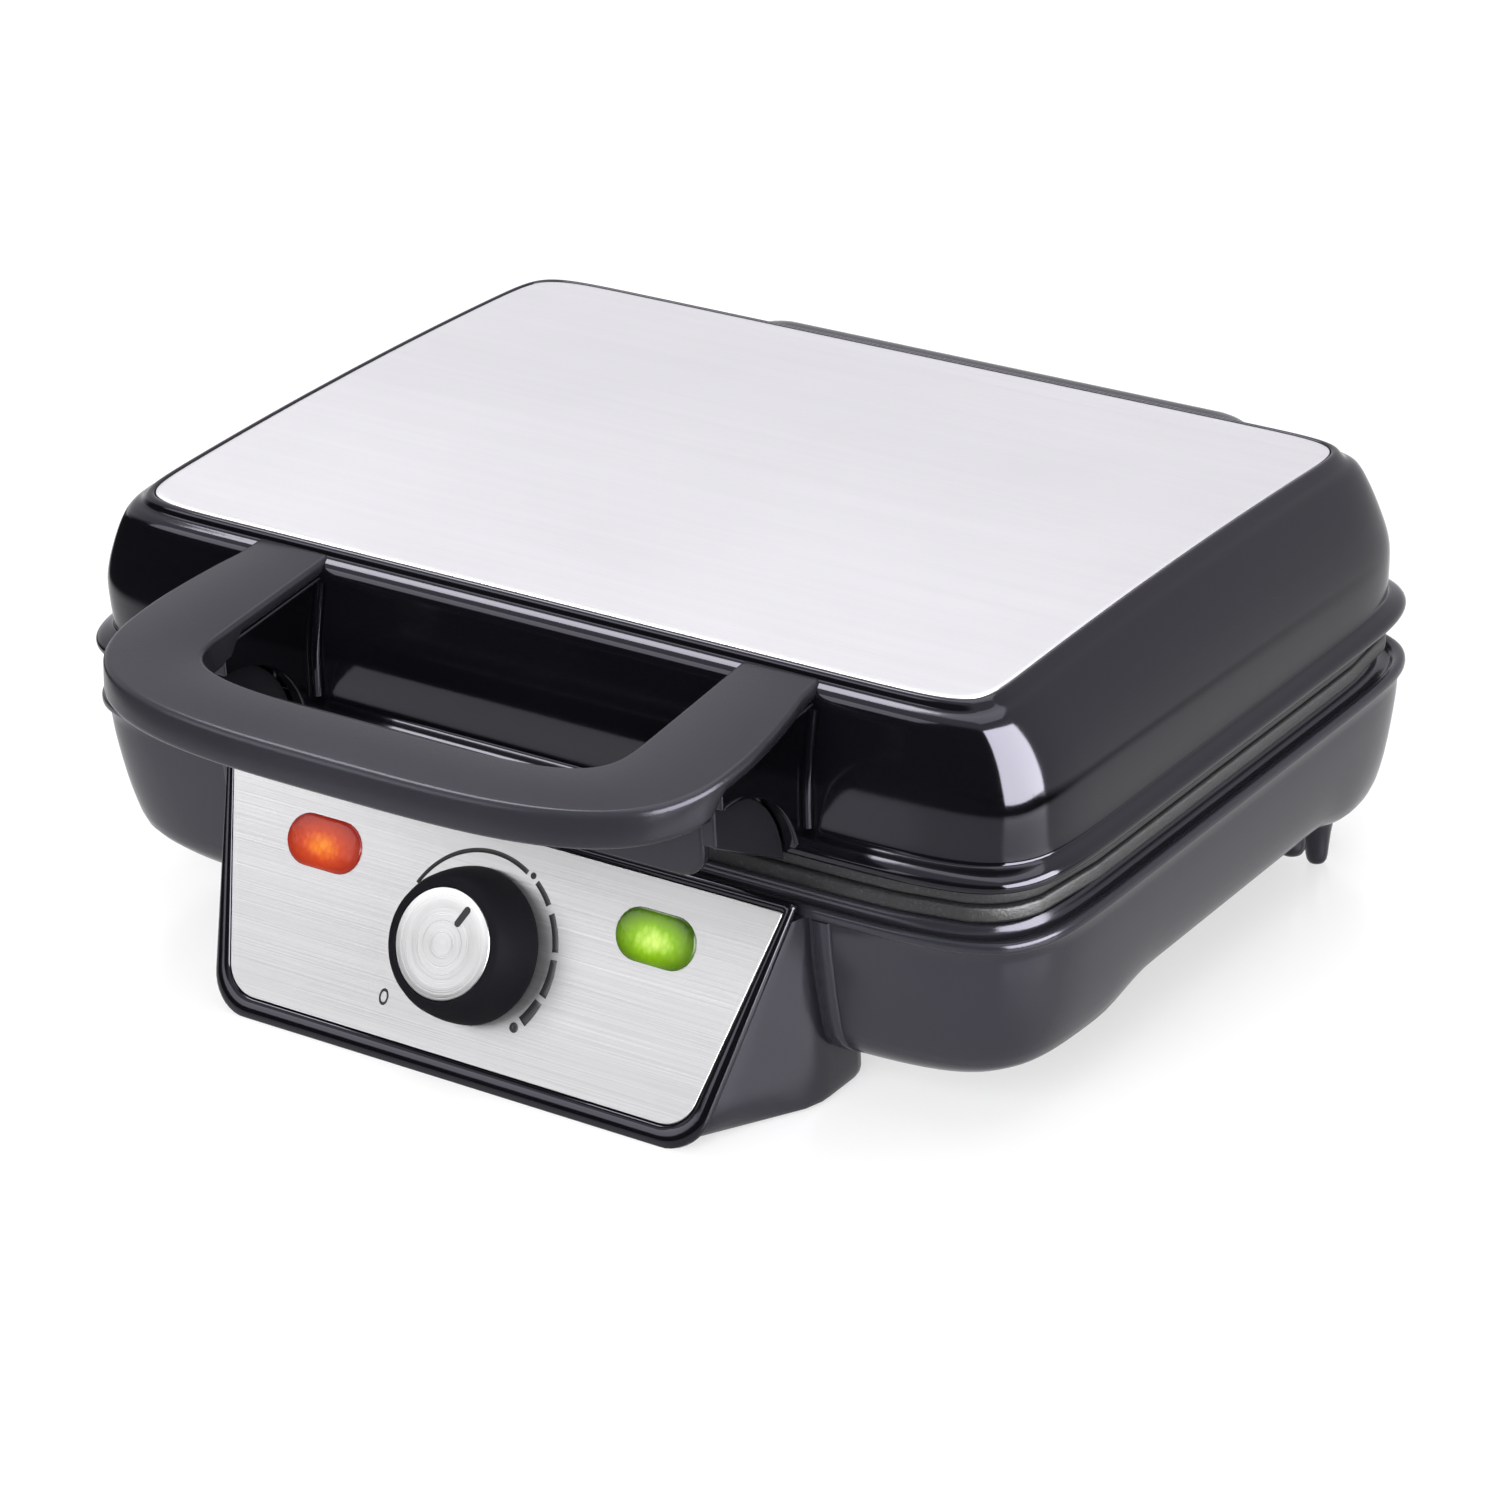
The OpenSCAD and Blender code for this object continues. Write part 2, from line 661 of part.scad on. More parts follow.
module hinge_arms() {
    color([0.65, 0.65, 0.66]) placed() both_sides() translate([hinge_x - knuckle_w / 2, 0, 0]) difference() {
        union() {
            translate([0, hinge_y, hinge_z]) rod_x(knuckle_r, 0, knuckle_w);
            translate([0, 0, 0]) rotate([90, 0, 90]) linear_extrude(knuckle_w) polygon([
                [hinge_y - 3.5, hinge_z + 2], [hinge_y + 4, hinge_z + 2], [hinge_y + 4, lid_rim_z + 14],
                [hinge_y - 1, lid_rim_z + 19], [rim_b - 9, lid_rim_z + 19], [rim_b - 9, lid_rim_z + 6],
                [hinge_y - 3.5, lid_rim_z + 5]]);
        }
        translate([0, hinge_y, hinge_z]) rod_x(pin_r + pin_clear, -1, knuckle_w + 1);
        translate([-hinge_x, 0, 0]) lid_form(-0.05, -0.05);
    }
}

// The hinge cover's outer or inner form: a level top with rounded rear edges and ends
module cover_form(inset, z) {
    half = cover_half - inset;
    back = rear_y - inset;
    top = cover_z - inset;
    intersection() {
        translate([-half, 0, 0]) rotate([90, 0, 90]) linear_extrude(half * 2) {
            translate([rim_b - 9, z]) square([back - rim_b + 9, top - 7 - z]);
            translate([rim_b - 9, top - 7.1]) square([back - rim_b + 2, 7.1]);
            translate([back - 7, top - 7]) circle(r = 7);
        }
        translate([0, 0, z - 1]) linear_extrude(rim_a) polygon(concat([[-half, rim_b - 10], [half, rim_b - 10]],
            [for (t = [0 : 15 : 90]) [half - 8 + 8 * cos(t), back - 8 + 8 * sin(t)]],
            [for (t = [90 : 15 : 180]) [8 - half + 8 * cos(t), back - 8 + 8 * sin(t)]]));
    }
}

module hinge_cover() {
    section_z = lid_rim_z + bead_h + 0.4;
    color([0.13, 0.13, 0.14]) placed() difference() {
        cover_form(0, section_z);
        cover_form(wall, section_z - 2);
        lid_form(-0.05, -0.05);
    }
}

// ---------- lid ----------

// The lid's outer or inner form under the arched top: inset all round, with its top dropped
module lid_form(inset, drop) {
    h = top_z - lid_rim_z;
    intersection() {
        hull() {
            level(top_a + 1.2 - inset, top_b + 1.2 - inset, 20, top_z + top_arch);
            level(top_a + 2.5 - inset, top_b + 3.5 - inset, 18, top_z - 1);
            level(top_a + 7 - inset, top_b + 5.5 - inset, 16, top_z - 5);
            for (p = [[0.66, 6.3, 7.2, 13], [0.45, 4.5, 6.1, 12], [0.24, 3.7, 5, 11], [0, 2.9, 3.8, 10]])
                level(rim_a - p[1] - inset, rim_b - p[2] - inset, p[3], lid_rim_z + h * p[0]);
        }
        translate([0, 0, arch_centre_z]) rod_x_fine(arch_radius - sheet_t - 0.05 - drop, -rim_a, rim_a);
    }
}

module rod_x_fine(r, x0, x1) { translate([x0, 0, 0]) rotate([0, 90, 0]) cylinder(r = r, h = x1 - x0, $fn = 720); }

// The webs under the handle's arms, with an arch cut in each
module webs() {
    both_sides() difference() {
        for (x = [web_in, web_out - web_t]) translate([x, bar_start_y, lid_rim_z])
            cube([web_t, -bar_start_y - rim_b + 8, top_z - lid_rim_z]);
        translate([0, arch_y, arch_z]) rod_x(arch_r, 0, rim_a);
        on_handle() translate([0, -60, -arm_t]) cube([rim_a, 90, 40]);
        on_handle() translate([0, bar_start_y - handle_root_y - 60, -band_t]) cube([rim_a, 60, 40]);
    }
}

module lid_housing() {
    color([0.03, 0.03, 0.035]) placed() difference() {
        union() {
            lid_form(0, 0);
            bead(lid_rim_z);
            webs();
        }
        difference() {
            lid_form(wall, wall);
            at_posts() translate([0, 0, part_z + reflector_drop + reflector_t]) cylinder(r = post_r, h = 30);
        }
        block(plate_a - 2.5, plate_b - 2.5, rim_square, lid_rim_z - 1, lid_rim_z + bead_h + 1);
        // the screws come down through the posts, with their heads under the steel top
        at_posts() {
            translate([0, 0, part_z]) cylinder(r = screw_r + 0.1, h = 60);
            translate([0, 0, lid_screw_z]) cylinder(r = screw_head_r + 0.3, h = 30);
        }
        // hole for the lid's lead
        translate([lead_x, rim_b - 14, lid_lead_z]) rotate([-90, 0, 0]) cylinder(r = lead_r + fit, h = 20);
    }
}

module steel_top() {
    color([0.82, 0.81, 0.81]) placed() intersection() {
        block(top_a, top_b, 20, top_z - 4, top_z + top_arch + 1);
        translate([0, 0, arch_centre_z]) difference() {
            rod_x_fine(arch_radius, -rim_a, rim_a);
            rod_x_fine(arch_radius - sheet_t, -rim_w, rim_w);
        }
    }
}

// Outline of the loop, or of its opening: straight arms and a rounded front
function loop_front(a, b, square, y) = [for (i = [0 : 24]) let (t = -180 * i / 24, c = cos(t), s = sin(t))
    [sign(c) * a * pow(abs(c), 2 / square), y - b * pow(abs(s), 2 / square)]];

module loop_outline() {
    reach = (handle_root_y - front_y) / cos(handle_tilt);
    difference() {
        polygon(concat([[-web_out, 5], [web_out, 5], [loop_half - 1.2, -22]],
            loop_front(loop_half, reach - 34, 3.2, -34), [[-loop_half + 1.2, -22]]));
        polygon(concat([[-opening_half, 6], [opening_half, 6]],
            loop_front(opening_half, reach - bar_d - 31, 4, -31)));
    }
}

module handle_loop() {
    color([0.14, 0.14, 0.15]) placed() difference() {
        on_handle() {
            translate([0, 0, -arm_t]) linear_extrude(arm_t) loop_outline();
            translate([0, 0, -band_t]) linear_extrude(band_t) intersection() {
                loop_outline();
                translate([-rim_a, -100 + bar_start_y - handle_root_y]) square([rim_w, 100]);
            }
        }
        lid_form(-0.05, -0.05);
    }
}

// The grip under the loop: a front wall between two cheeks that stand in the arches
module lower_grip() {
    half_x = web_out - web_t - 2.8;
    cheek_in = web_in + web_t + 0.4;
    cheek_w = web_out - web_t - 0.3 - cheek_in;
    wall_y = arch_y + 2.5;
    wall_z = arch_z + 5.5;
    corner = 6;
    color([0.15, 0.15, 0.16]) placed() difference() {
        union() {
            translate([0, wall_y, wall_z]) rotate([90, 0, 0]) linear_extrude(grip_t) {
                translate([-half_x, corner]) square([half_x * 2, grip_h - corner]);
                translate([-half_x + corner, 0]) square([(half_x - corner) * 2, corner]);
                both_sides() translate([half_x - corner, corner]) circle(r = corner);
            }
            both_sides() translate([cheek_in, 0, 0]) rotate([90, 0, 90]) linear_extrude(cheek_w)
                intersection() {
                    translate([arch_y, arch_z]) circle(r = arch_r + 0.5);
                    polygon([[wall_y, arch_z + 40], [wall_y, arch_z + 13], [wall_y + 25, arch_z - 1.6],
                        [wall_y + 40, arch_z - 1.6], [wall_y + 40, arch_z + 40]]);
                }
        }
        block(rim_a + 0.05, rim_b + 0.05, rim_square, lid_rim_z - 6, top_z);
    }
}

module lid_wiring() {
    color([0.85, 0.82, 0.75]) placed() {
        translate([0, hinge_y, hinge_z]) rod_x(lead_r, 0.2, lead_x);
        translate([lead_x, hinge_y, hinge_z]) sphere(r = lead_r);
        translate([lead_x, hinge_y, hinge_z]) cylinder(r = lead_r, h = lid_lead_z - hinge_z);
        translate([lead_x, hinge_y, lid_lead_z]) sphere(r = lead_r);
        translate([lead_x, rim_b - 14, lid_lead_z]) rotate([-90, 0, 0]) cylinder(r = lead_r, h = 14 + hinge_back);
    }
}

module lid_screws() {
    color([0.6, 0.6, 0.6]) placed() at_posts() translate([0, 0, lid_screw_z + 2]) mirror([0, 0, 1])
        screw(lid_screw_z - part_z - plate_drop - 2);
}

base_housing();
rear_legs();
control_box();
box_cover();
front_pads();
panel_bezel();
control_panel();
power_lens();
ready_lens();
neon_lamps();
lamp_holders();
thermostat();
thermostat_bracket();
capillary_bulb();
lower_plate();
lower_heater();
lower_reflector();
thermal_fuse();
terminal_block();
cord_gland();
base_wiring();
base_screws();
hinge_pins();
knob_shaft();
knob();
knob_cap();
lid_housing();
steel_top();
handle_loop();
lower_grip();
upper_plate();
upper_heater();
upper_reflector();
lid_wiring();
lid_screws();
hinge_arms();
hinge_cover();
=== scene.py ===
import json
import math

import bmesh
import bpy
from mathutils import Matrix, Vector


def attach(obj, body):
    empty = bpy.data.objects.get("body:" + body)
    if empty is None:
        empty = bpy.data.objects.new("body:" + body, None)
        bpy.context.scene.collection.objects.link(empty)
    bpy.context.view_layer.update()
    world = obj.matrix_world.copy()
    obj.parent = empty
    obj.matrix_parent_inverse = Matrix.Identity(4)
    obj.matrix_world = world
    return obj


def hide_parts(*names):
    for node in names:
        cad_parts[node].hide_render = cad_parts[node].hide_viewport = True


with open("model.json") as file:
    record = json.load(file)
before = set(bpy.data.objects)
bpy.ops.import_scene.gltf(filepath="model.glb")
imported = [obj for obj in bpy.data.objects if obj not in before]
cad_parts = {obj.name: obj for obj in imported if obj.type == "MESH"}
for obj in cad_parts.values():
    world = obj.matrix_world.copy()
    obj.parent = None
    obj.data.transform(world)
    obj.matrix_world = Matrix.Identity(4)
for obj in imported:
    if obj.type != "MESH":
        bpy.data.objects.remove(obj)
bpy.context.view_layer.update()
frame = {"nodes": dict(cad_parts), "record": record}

# ---------------------------------------------------------------- camera
# A long lens looks down on the front right corner of the waffle maker.
# The body's own middle lies BACK millimetres behind the origin, because the handle reaches further out
# than the hinge does.
BACK = 18.75


def at(x, y, z):
    """A point in metres from millimetres across, back from the body's middle, and up from the table."""
    return Vector((x, y + BACK, z)) / 1000


def unit(name, data):
    """A new object of the scene that holds the data."""
    thing = bpy.data.objects.new(name, data)
    bpy.context.scene.collection.objects.link(thing)
    return thing


def camera():
    azimuth, elevation, roll = (math.radians(d) for d in (35.68, 25.97, -2.74))
    backward = Vector((math.sin(azimuth) * math.cos(elevation),
                       -math.cos(azimuth) * math.cos(elevation), math.sin(elevation)))
    right = Vector((math.cos(azimuth), math.sin(azimuth), 0))
    up = backward.cross(right)
    across = right * math.cos(roll) + up * math.sin(roll)
    upright = up * math.cos(roll) - right * math.sin(roll)
    lens = bpy.data.cameras.new("camera")
    lens.sensor_fit = "HORIZONTAL"
    lens.sensor_width = 36
    lens.lens = 130.58
    lens.clip_start = 0.05
    lens.clip_end = 50
    eye = unit("camera", lens)
    eye.matrix_world = Matrix((across, upright, backward)).transposed().to_4x4()
    eye.location = (0.6597, -0.9016, 0.5803)
    bpy.context.scene.camera = eye


camera()
bpy.context.scene.view_settings.view_transform = "Standard"


# ---------------------------------------------------------------- finishes
# Each real surface is one finish: gloss or satin moulding, brushed sheet, cast coating and so on.
# A finish is a Principled shader whose colour, roughness and relief vary over the surface; Signal lets the
# sums between its nodes be written as expressions.
class Signal:
    """One socket of a finish, usable in sums."""

    def __init__(self, finish, socket):
        self.finish, self.socket = finish, socket

    def sum(self, operation, *values):
        return self.finish.node("ShaderNodeMath", {"operation": operation}, dict(enumerate(values)))

    def __add__(self, other):
        return self.sum("ADD", self, other)

    def __mul__(self, other):
        return self.sum("MULTIPLY", self, other)

    def __sub__(self, other):
        return self.sum("SUBTRACT", self, other)

    def __rsub__(self, other):
        return self.sum("SUBTRACT", other, self)

    __radd__ = __add__
    __rmul__ = __mul__

    def over(self, low, high):
        """0 below low, 1 above high, straight between."""
        return self.finish.node("ShaderNodeMapRange", {"clamp": True}, {0: self, 1: low, 2: high})


class Finish:
    """A material built round one Principled shader."""

    def __init__(self, name, **constants):
        self.material = bpy.data.materials.new(name)
        self.material.use_nodes = True
        self.tree = self.material.node_tree
        self.tree.nodes.clear()
        self.shader = self.tree.nodes.new("ShaderNodeBsdfPrincipled")
        output = self.tree.nodes.new("ShaderNodeOutputMaterial")
        self.tree.links.new(self.shader.outputs[0], output.inputs[0])
        self.feed(self.shader, {k.replace("_", " "): v for k, v in constants.items()})

    def feed(self, node, values):
        for key, value in values.items():
            if isinstance(value, Signal):
                self.tree.links.new(value.socket, node.inputs[key])
            elif isinstance(value, tuple) and len(value) == 3 and node.inputs[key].type == "RGBA":
                node.inputs[key].default_value = (*value, 1)
            else:
                node.inputs[key].default_value = value

    def node(self, kind, settings=(), values=(), output=0):
        made = self.tree.nodes.new(kind)
        for key, value in dict(settings).items():
            setattr(made, key, value)
        self.feed(made, dict(values))
        return Signal(self, made.outputs[output])

    def shaded(self, **values):
        self.feed(self.shader, {k.replace("_", " "): v for k, v in values.items()})
        return self

    def place(self):
        return self.node("ShaderNodeTexCoord", output="Object")

    def stretched(self, x, y, z):
        return self.node("ShaderNodeMapping", {}, {"Vector": self.place(), "Scale": (x, y, z)})

    def noise(self, scale, detail=2, rough=0.5, vector=None):
        return self.node("ShaderNodeTexNoise", {}, {
            "Vector": vector or self.place(), "Scale": scale, "Detail": detail, "Roughness": rough})

    def between(self, factor, low, high):
        made = self.tree.nodes.new("ShaderNodeMix")
        made.data_type = "RGBA"
        self.feed(made, {0: factor})
        for slot, colour in ((6, low), (7, high)):
            if isinstance(colour, Signal):
                self.tree.links.new(colour.socket, made.inputs[slot])
            else:
                made.inputs[slot].default_value = (*colour, 1)
        return Signal(self, made.outputs[2])

    def edges(self, low=0.52, high=0.6):
        """1 on outward edges, where handling rubs the surface."""
        return self.node("ShaderNodeNewGeometry", output="Pointiness").over(low, high)

    def relief(self, height, strength, depth):
        bump = self.node("ShaderNodeBump", {}, {"Height": height, "Strength": strength, "Distance": depth})
        self.feed(self.shader, {"Normal": bump})
        return self


# The black mouldings mirror the room a little violet.
TINT = (0.87, 0.84, 1.0)


def gloss_black():
    made = Finish("gloss_black", Specular_IOR_Level=0.4, Specular_Tint=TINT)
    cloud = made.noise(18, 4)
    speck = made.noise(900, 1).over(0.68, 0.75)
    made.shaded(Base_Color=made.between(cloud, (0.002, 0.002, 0.0028), (0.004, 0.004, 0.0056)),
                Roughness=cloud.over(0.3, 0.7) * 0.05 + speck * 0.04 + 0.075)
    return made.relief(made.noise(140, 2), 0.06, 0.0004).material


def satin_black(name, low, high, rough, grain=0.12, shine=0.42):
    made = Finish(name, Specular_IOR_Level=shine, Specular_Tint=TINT)
    cloud = made.noise(25, 4)
    pores = made.noise(2600, 2)
    made.shaded(Base_Color=made.between(cloud, low, high), Roughness=cloud * 0.08 + pores * 0.06 + rough)
    return made.relief(pores, grain, 0.0003).material


def brushed(name, colour=((0.56, 0.555, 0.565), (0.68, 0.675, 0.685)), rough=0.3):
    """Sheet brushed along its width, with fine strokes over long ones."""
    made = Finish(name, Metallic=1.0)
    fine = made.noise(1, 2, vector=made.stretched(18, 3200, 3200))
    long = made.noise(1, 2, vector=made.stretched(5, 420, 420))
    cloud = made.noise(12, 3)
    made.shaded(Base_Color=made.between(fine * 0.5 + long * 0.3 + cloud * 0.2, *colour),
                Roughness=fine * 0.1 + cloud * 0.06 + rough)
    return made.relief(fine * 0.7 + long * 0.3, 0.16, 0.0002).material


def plain_metal(name, low, high, rough, metallic=1.0):
    made = Finish(name, Metallic=metallic)
    cloud = made.noise(37.5, 4)
    grain = made.noise(1800, 2)
    rubbed = tuple(min(1, c * 1.3) for c in high)
    colour = made.between(made.edges() * 0.5, made.between(cloud, low, high), rubbed)
    made.shaded(Base_Color=colour, Roughness=cloud * 0.15 + rough)
    return made.relief(grain, 0.15, 0.0002).material


def dull(name, low, high, rough, scale=400, depth=0.0003, strength=0.2):
    made = Finish(name)
    cloud = made.noise(scale / 10, 4)
    grain = made.noise(scale * 5, 2)
    rubbed = tuple(min(1, c * 1.4) for c in high)
    colour = made.between(made.edges() * 0.3, made.between(cloud, low, high), rubbed)
    made.shaded(Base_Color=colour, Roughness=cloud * 0.12 + rough)
    return made.relief(grain, strength, depth).material


def coated_casting():
    made = Finish("coated_casting", Specular_IOR_Level=0.45)
    cloud = made.noise(30, 4)
    sand = made.noise(1500, 3, 0.7)
    coat = made.between(cloud, (0.012, 0.012, 0.013), (0.022, 0.022, 0.024))
    colour = made.between(sand.over(0.55, 0.75), coat, (0.05, 0.05, 0.054))
    made.shaded(Base_Color=colour, Roughness=sand * 0.2 + 0.36)
    return made.relief(sand, 0.35, 0.0004).material


GLOSS = gloss_black()
SATIN = satin_black("satin_black", (0.018, 0.018, 0.022), (0.027, 0.027, 0.033), 0.15, 0.08, 0.24)
SHELL = satin_black("shell_black", (0.018, 0.018, 0.023), (0.026, 0.026, 0.033), 0.12, 0.03, 0.36)
KNOB_BLACK = satin_black("knob_black", (0.006, 0.006, 0.0075), (0.01, 0.01, 0.012), 0.5, 0.08, 0.02)
STEEL = brushed("brushed_steel")
CAST = coated_casting()


# ---------------------------------------------------------------- lid shell
# Gloss black moulding that bulges out under the steel top and ends in a rounded bead. Two ledges run along
# its front and back under the top. It is drawn as level rings, from the lip round the steel sheet down
# over the bead and up again inside.
QUARTER = 26
TOP_ARCH = 2.0
TOP_DEPTH = 78.0
ARCH_NONE, ARCH_FULL = 84, 98  # heights between which the shell takes on the top's arch


def corner_angles(count=QUARTER, square=12):
    """Angles of half a quarter turn that leave even steps on the straight and dense ones in the corner."""
    even = [1 - (1 - i / count) ** 1.7 for i in range(count + 1)]
    reach = math.sin(math.pi / 4) ** (2 / square)
    half = [math.asin(min(1, (reach * e)) ** (square / 2)) for e in even]
    quarter = half + [math.pi / 2 - h for h in reversed(half[:-1])]
    return [q + turn * math.pi / 2 for turn in range(4) for q in quarter[:-1]]


ANGLES = corner_angles()


def ring(a, b, square):
    """Level outline of a body with bowed sides and round corners, as pairs across and back."""
    points = []
    for t in ANGLES:
        c, s = math.cos(t), math.sin(t)
        across = math.copysign(a * abs(c) ** (2 / square), c)
        back = math.copysign(b * abs(s) ** (2 / square), s)
        points.append((across, back))
    return points


def share(value, none, full):
    """How far a value is on its way from none (0) to full (1), held between the two."""
    return max(0, min(1, (value - none) / (full - none)))


def curve(a, b, c, d, t):
    """The smooth value at t between b and c, which a comes before and d after."""
    bend, twist = 2 * a - 5 * b + 4 * c - d, 3 * b - a - 3 * c + d
    return 0.5 * (2 * b + (c - a) * t + bend * t * t + twist * t ** 3)


def between_rows(rows, cuts):
    """Rows of numbers with smooth ones put between them."""
    out = []
    for i in range(len(rows) - 1):
        p0, p1, p2, p3 = (rows[max(0, min(len(rows) - 1, i + k))] for k in (-1, 0, 1, 2))
        for step in range(cuts):
            out.append(tuple(curve(*values, step / cuts) for values in zip(p0, p1, p2, p3)))
    out.append(tuple(rows[-1]))
    return out


def skin(name, rings, material, close=False, caps=(False, False), sharp=40):
    """A mesh through rings of points, each ring with as many points as the others."""
    mesh = bpy.data.meshes.new(name)
    count = len(rings[0])
    faces = []
    for i in range(len(rings) if close else len(rings) - 1):
        low, high = i * count, ((i + 1) % len(rings)) * count
        for j in range(count):
            k = (j + 1) % count
            faces.append((low + j, low + k, high + k, high + j))
    if caps[0]:
        faces.append(tuple(range(count))[::-1])
    if caps[1]:
        faces.append(tuple((len(rings) - 1) * count + j for j in range(count)))
    mesh.from_pydata([tuple(p) for r in rings for p in r], [], faces)
    return dressed(name, mesh, material, sharp)


def dressed(name, mesh, material, sharp=40):
    """An object of the mesh with its doubled points joined, smooth but for edges past so many degrees."""
    work = bmesh.new()
    work.from_mesh(mesh)
    bmesh.ops.remove_doubles(work, verts=work.verts, dist=1e-7)
    bmesh.ops.recalc_face_normals(work, faces=work.faces)
    work.to_mesh(mesh)
    work.free()
    mesh.shade_smooth()
    mesh.set_sharp_from_angle(angle=math.radians(sharp))
    mesh.materials.append(material)
    return unit(name, mesh)


def fitted(piece, body, slot, *nodes):
    """Lets a piece move with a body and stand for CAD nodes; its slot is not used."""
    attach(piece, body)
    if nodes:
        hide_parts(*nodes)
    return piece


def arch_rise(y):
    """How much higher the arched top is at a place front to back than at its front and back edges."""
    return TOP_ARCH * (1 - (y / TOP_DEPTH) ** 2)


def lid_shell():
    # Rows of height, half width, half depth and squareness.
    lip = [
        (97.3, 112.6, 78.1, 20), (98.5, 112.7, 78.2, 20), (98.85, 112.9, 78.4, 20), (98.95, 113.3, 78.8, 20),
        (98.8, 113.8, 79.3, 20), (98.4, 114.3, 79.7, 19.5), (97.8, 115.0, 79.9, 19)]
    wall = [
        (97.1, 115.9, 80.1, 18.5), (96.7, 116.6, 80.6, 18), (96.4, 117.1, 81.3, 18),
        (95.9, 117.8, 82.1, 17.5), (95.0, 118.6, 82.8, 17), (93.5, 119.9, 83.3, 16),
        (90.5, 122.0, 84.0, 14.5), (86, 124.4, 85.1, 13), (81, 126.2, 86.3, 12.2),
        (77, 126.95, 87.0, 11.8), (72, 127.2, 87.3, 11.2), (66.6, 127.25, 87.5, 10.6)]
    bead_rows = [
        (65.5, 127.6, 88.3, 10.3), (64.9, 128.6, 89.9, 10), (64.2, 129.7, 91.1, 10), (63.3, 130.3, 91.8, 10),
        (62.4, 130.45, 91.95, 10), (61.5, 130.2, 91.7, 10), (60.9, 129.5, 91.0, 10), (60.62, 128.4, 89.9, 10),
        (60.6, 127.2, 88.7, 10), (61.2, 126.6, 88.1, 10)]
    inside = [
        (64, 126.0, 87.2, 10), (66, 125.2, 85.8, 10.5), (78, 123.6, 83.5, 12), (86, 121.8, 82.4, 13),
        (92, 118.5, 80.6, 16), (95.5, 114, 78.5, 18)]
    rings = []
    for z, a, b, square in between_rows(lip + wall + bead_rows + inside, 3):
        arched = share(z, ARCH_NONE, ARCH_FULL)
        rings.append([at(x, y, z + arch_rise(y) * arched) for x, y in ring(a, b, square)])
    return fitted(skin("lid_shell", rings, GLOSS, sharp=60), "lid", "black_gloss", "lid_housing")


lid_shell()


# ---------------------------------------------------------------- steel top
# Stainless sheet brushed along its width, arched front to back, with a rolled edge sunk in the shell's lip.
# It is bare: nothing is printed or etched on it.
def steel_top():
    face, square = 98.85, 20
    edge = [(97.4, 1.0), (98.45, 1.0), (98.7, 0.9), (98.82, 0.6), (98.87, 0.2), (98.88, -0.4), (face, -2)]
    rings = []
    for z, grow in edge:
        rings.append([at(x, y, z + arch_rise(y)) for x, y in ring(111.55 + grow, 77.05 + grow, square)])
    for inner in (0.93, 0.82, 0.66, 0.5, 0.34, 0.18, 0.04):
        rings.append([at(x, y, face + arch_rise(y)) for x, y in ring(109.5 * inner, 75 * inner, square)])
    sheet = skin("steel_sheet", rings, STEEL, caps=(False, True), sharp=30)
    return fitted(sheet, "lid", "brushed_steel", "steel_top")


steel_top()


# ---------------------------------------------------------------- handle webs
# Two gloss walls under each arm of the handle, moulded with the lid shell, with a bead down the corner
# between them and the shell. An arch is cut in each for the guard's cheeks, and the outer ones have a lip.
HANDS = ((-1, "left"), (1, "right"))
WEB = 3.4
WEB_PLACES = {"outer": 72.1, "inner": 55.5}
WEB_FRONT = -117.5
ARCH_Y, ARCH_Z, ARCH_RADIUS = -115.5, 59.0, 24.0


def cos_sin(degrees):
    return math.cos(math.radians(degrees)), math.sin(math.radians(degrees))


def on_arch(radius, degrees):
    """A place back and up on a circle round the arch's centre, from level behind it upwards."""
    c, s = cos_sin(degrees)
    return ARCH_Y + radius * c, ARCH_Z + radius * s


def slab(name, outline, thick, material, round_by, segments=3):
    """A flat piece cut to an outline of points, thick along a vector, with rounded edges."""
    work = bmesh.new()
    low = [work.verts.new(p) for p in outline]
    face = work.faces.new(low)
    raised = bmesh.ops.extrude_face_region(work, geom=[face])["geom"]
    bmesh.ops.translate(work, vec=thick, verts=[g for g in raised if isinstance(g, bmesh.types.BMVert)])
    bmesh.ops.recalc_face_normals(work, faces=work.faces)
    mesh = bpy.data.meshes.new(name)
    work.to_mesh(mesh)
    work.free()
    piece = dressed(name, mesh, material, 35)
    soften(piece, round_by, segments)
    return piece


def soften(piece, by, segments=3, angle=35):
    """Rounds a piece's sharp edges by so many millimetres."""
    bevel = piece.modifiers.new("soften", "BEVEL")
    bevel.width = by / 1000
    bevel.segments = segments
    bevel.limit_method = "ANGLE"
    bevel.angle_limit = math.radians(angle)
    bevel.harden_normals = True


def web_outline(x):
    arch = [on_arch(ARCH_RADIUS, t) for t in range(8, 96, 4)]
    rim = [(-86, 66.5), (-88.3, 62.3)] + [p for p in arch if p[0] > WEB_FRONT]
    rim += [(WEB_FRONT, 82.9), (WEB_FRONT, 89.9), (-81, 93.6)]
    return [at(x, y, z) for y, z in rim]


for side, hand in HANDS:
    for place, x in WEB_PLACES.items():
        start = x if side > 0 else -x - WEB
        web = slab(f"web_{place}_{hand}", web_outline(start), (WEB / 1000, 0, 0), GLOSS, 0.5)
        fitted(web, "lid", "black_gloss")


def bead(name, path, radius):
    """A round gloss bead of the lid along a path of points that runs front to back and up."""
    sideways = Vector((1, 0, 0))
    rings = []
    for i, p in enumerate(path):
        along = (path[min(i + 1, len(path) - 1)] - path[max(i - 1, 0)]).normalized()
        out = along.cross(sideways).normalized()
        rings.append([p + (out * math.cos(t) + sideways * math.sin(t)) * radius / 1000
                      for t in (2 * math.pi * k / 16 for k in range(16))])
    return fitted(skin(name, rings, GLOSS, caps=(True, True), sharp=60), "lid", "black_gloss")


